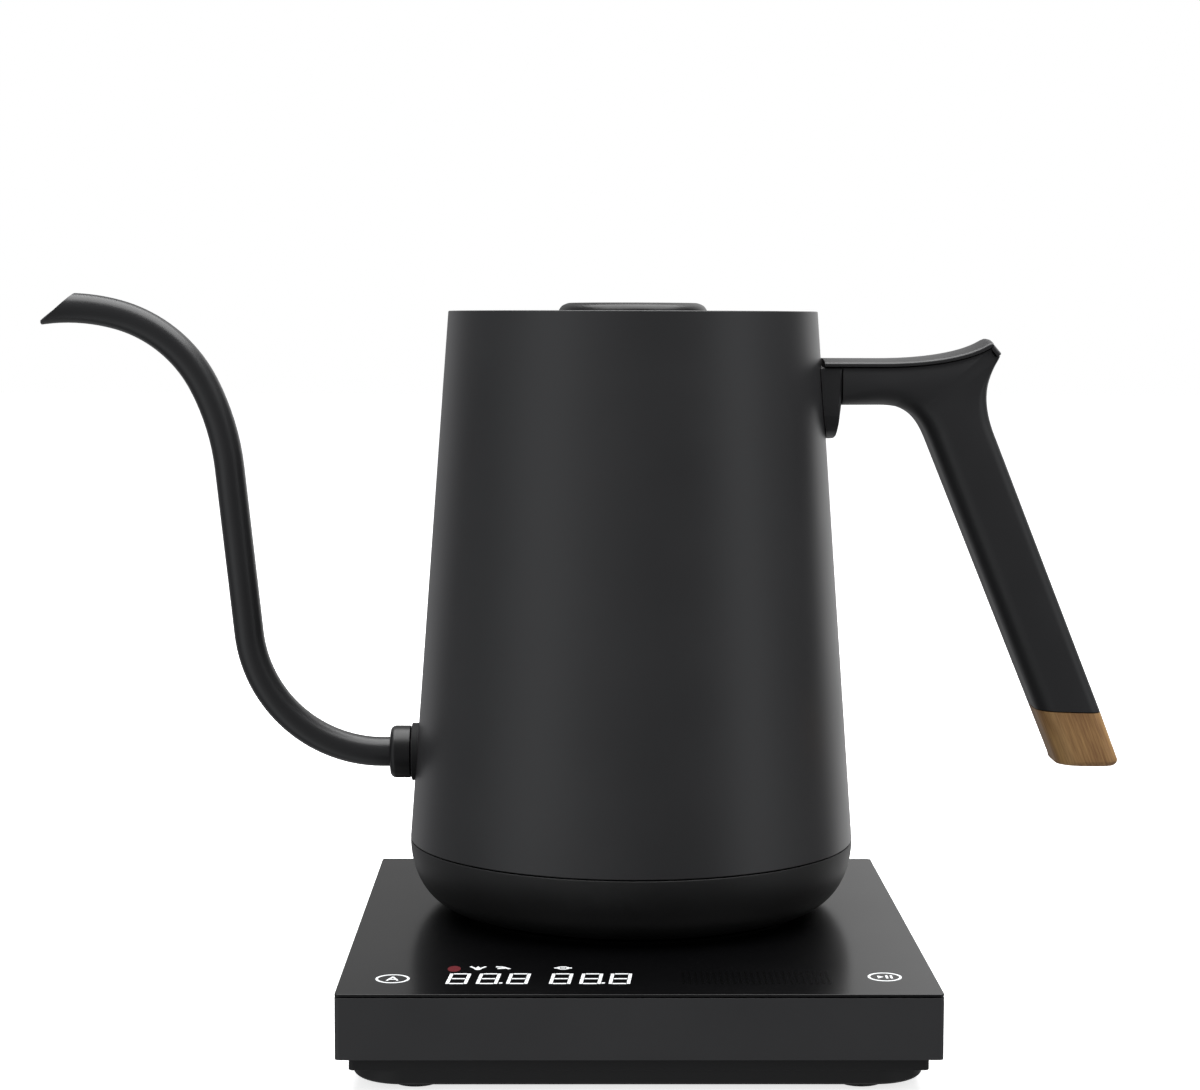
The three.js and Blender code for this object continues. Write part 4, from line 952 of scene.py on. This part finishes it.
def digitEight(x, y, s):
    lean = math.tan(math.radians(s["slant"]))
    width, height = s["digitWidth"], s["digitHeight"]
    upright, flat = s["stroke"], s["thin"]
    gap, end, flatEnd = s["segmentGap"], s["segmentEnd"], s["flatEnd"]

    def stroke(fromX, fromY, toX, toY, thick):
        start = (x + fromX + fromY * lean, y + fromY)
        return strokePolygon(start, (x + toX + toY * lean, y + toY), thick)

    segments = []
    for px in (upright / 2, width - upright / 2):
        for low, high in ((end, height / 2 - gap), (height / 2 + gap, height - end)):
            segments.append(stroke(px, low, px, high, upright))
    for py in (flat, height / 2, height - flat):
        segments.append(stroke(upright + flatEnd, py, width - upright - flatEnd, py, flat * 2))
    return segments


def ringPolygons(x, y, radius, stroke, count=40):
    made = []
    for i in range(count):
        a, b = 2 * math.pi * i / count, 2 * math.pi * (i + 1) / count
        corners = ((radius - stroke, a), (radius, a), (radius, b), (radius - stroke, b))
        made.append([(x + reach * math.cos(turn), y + reach * math.sin(turn)) for reach, turn in corners])
    return made


def buildLegends(s):
    digits = []
    for x in s["firstGroup"] + s["secondGroup"]:
        digits += digitEight(x, s["digitBottom"], s)
    for x, y in s["points"]:
        digits.append([(x, y - 0.45), (x + 0.8, y - 0.45), (x + 0.9, y + 0.45), (x + 0.1, y + 0.45)])
    printed("displayDigits", digits, inks["white"])
    # The left sign: two slanted legs and a bar.
    x, y = s["leftRing"]
    mark = ringPolygons(x, y, s["ringRadius"], s["ringStroke"])
    mark += [strokePolygon((x - 1.3, y - 1.7), (x, y + 1.9), 0.5),
             strokePolygon((x + 1.3, y - 1.7), (x, y + 1.9), 0.5),
             strokePolygon((x - 0.6, y - 0.5), (x + 0.6, y - 0.5), 0.6)]
    printed("heatButtonMark", mark, inks["white"])
    # The right sign: a start arrow and two pause bars.
    x, y = s["rightRing"]
    mark = ringPolygons(x, y, s["ringRadius"], s["ringStroke"])
    mark += [[(x - 1.7, y - 1.3), (x - 0.3, y), (x - 1.7, y + 1.3)],
             strokePolygon((x + 0.5, y - 1.4), (x + 0.5, y + 1.4), 0.55),
             strokePolygon((x + 1.6, y - 1.4), (x + 1.6, y + 1.4), 0.55)]
    printed("startButtonMark", mark, inks["white"])
    ribs = s["ribs"]
    bars = []
    for i in range(ribs["count"]):
        x = ribs["first"] + (ribs["last"] - ribs["first"]) * i / (ribs["count"] - 1)
        bars.append(strokePolygon((x, ribs["low"]), (x, ribs["high"]), ribs["width"]))
    printed("sliderRibs", bars, inks["shadow"])
    # Four small signs above the digits: heat, a drop, a cup and a timer.
    (x, y), (wide, tall) = s["heat"], s["heatSize"]
    heat = [(x + wide * math.cos(k * math.pi / 8), y + tall * math.sin(k * math.pi / 8)) for k in range(16)]
    printed("heatMark", [heat], inks["red"])
    wings = [strokePolygon((-40.6, -51.4), (-39.2, -53.6), 0.6),
             strokePolygon((-36.9, -51.4), (-38.3, -53.6), 0.6)]
    wings += [[(-39.6, -53.9), (-38.75, -51.2), (-37.9, -53.9), (-38.3, -54.6), (-39.2, -54.6)]]
    printed("dropMark", wings, inks["white"])
    cupMark = [strokePolygon((-34.4, -51.6), (-32.6, -52.0), 0.8),
               strokePolygon((-34.0, -53.4), (-32.2, -53.0), 0.7),
               strokePolygon((-32.6, -52.0), (-31.0, -53.8), 0.7)]
    printed("cupMark", cupMark, inks["white"])
    x, y = s["timer"]
    timer = ringPolygons(x, y, s["timerRadius"], 0.55, 20)
    timer += [strokePolygon((-20.2, y), (-19.4, y), 0.8), strokePolygon((-16.7, y), (-15.9, y), 0.8),
              strokePolygon((-18.5, y), (-17.6, y), 0.5)]
    printed("timerMark", timer, inks["white"])


buildLegends(legend)
print("legends made")


innerEdge, bracketEdge = 0.12, 0.15
inner = {
    "silicone": ["foot_ring", "sensor_seal", "lid_seal", "cord_gland"],
    "handlePlastic": ["handle_bracket"],
    "connectorPlastic": ["kettle_socket", "thermal_cutout", "buzzer"],
    "stainless": ["vessel_floor", "temperature_sensor", "lid_liner"],
    "castAluminium": ["heating_element", "heat_spreader"],
    "zincSteel": ["tray_screw_1", "tray_screw_2", "tray_screw_3", "tray_screw_4",
                  "cup_screw_1", "cup_screw_2", "cup_screw_3", "handle_screw_1", "handle_screw_2",
                  "tip_stud", "lid_screw", "element_terminal_1", "element_terminal_2",
                  "touch_pad_left", "touch_pad_right"],
    "brass": ["hub_contact_ring", "hub_contact_button", "socket_pin", "socket_contact_ring"],
    "circuitBoard": ["control_board", "power_board"],
    "modulePlastic": ["display_module", "slider_pad"],
    "relayCase": ["relay"],
    "transformerTape": ["transformer"],
}

for finish, names in inner.items():
    slotName = "".join("_" + letter.lower() if letter.isupper() else letter for letter in finish)
    for name in names:
        edge = bracketEdge if name == "handle_bracket" else innerEdge
        fromPart(name, finishes[finish], edge)
print("inner pieces and bracket made")

print("scene ready")
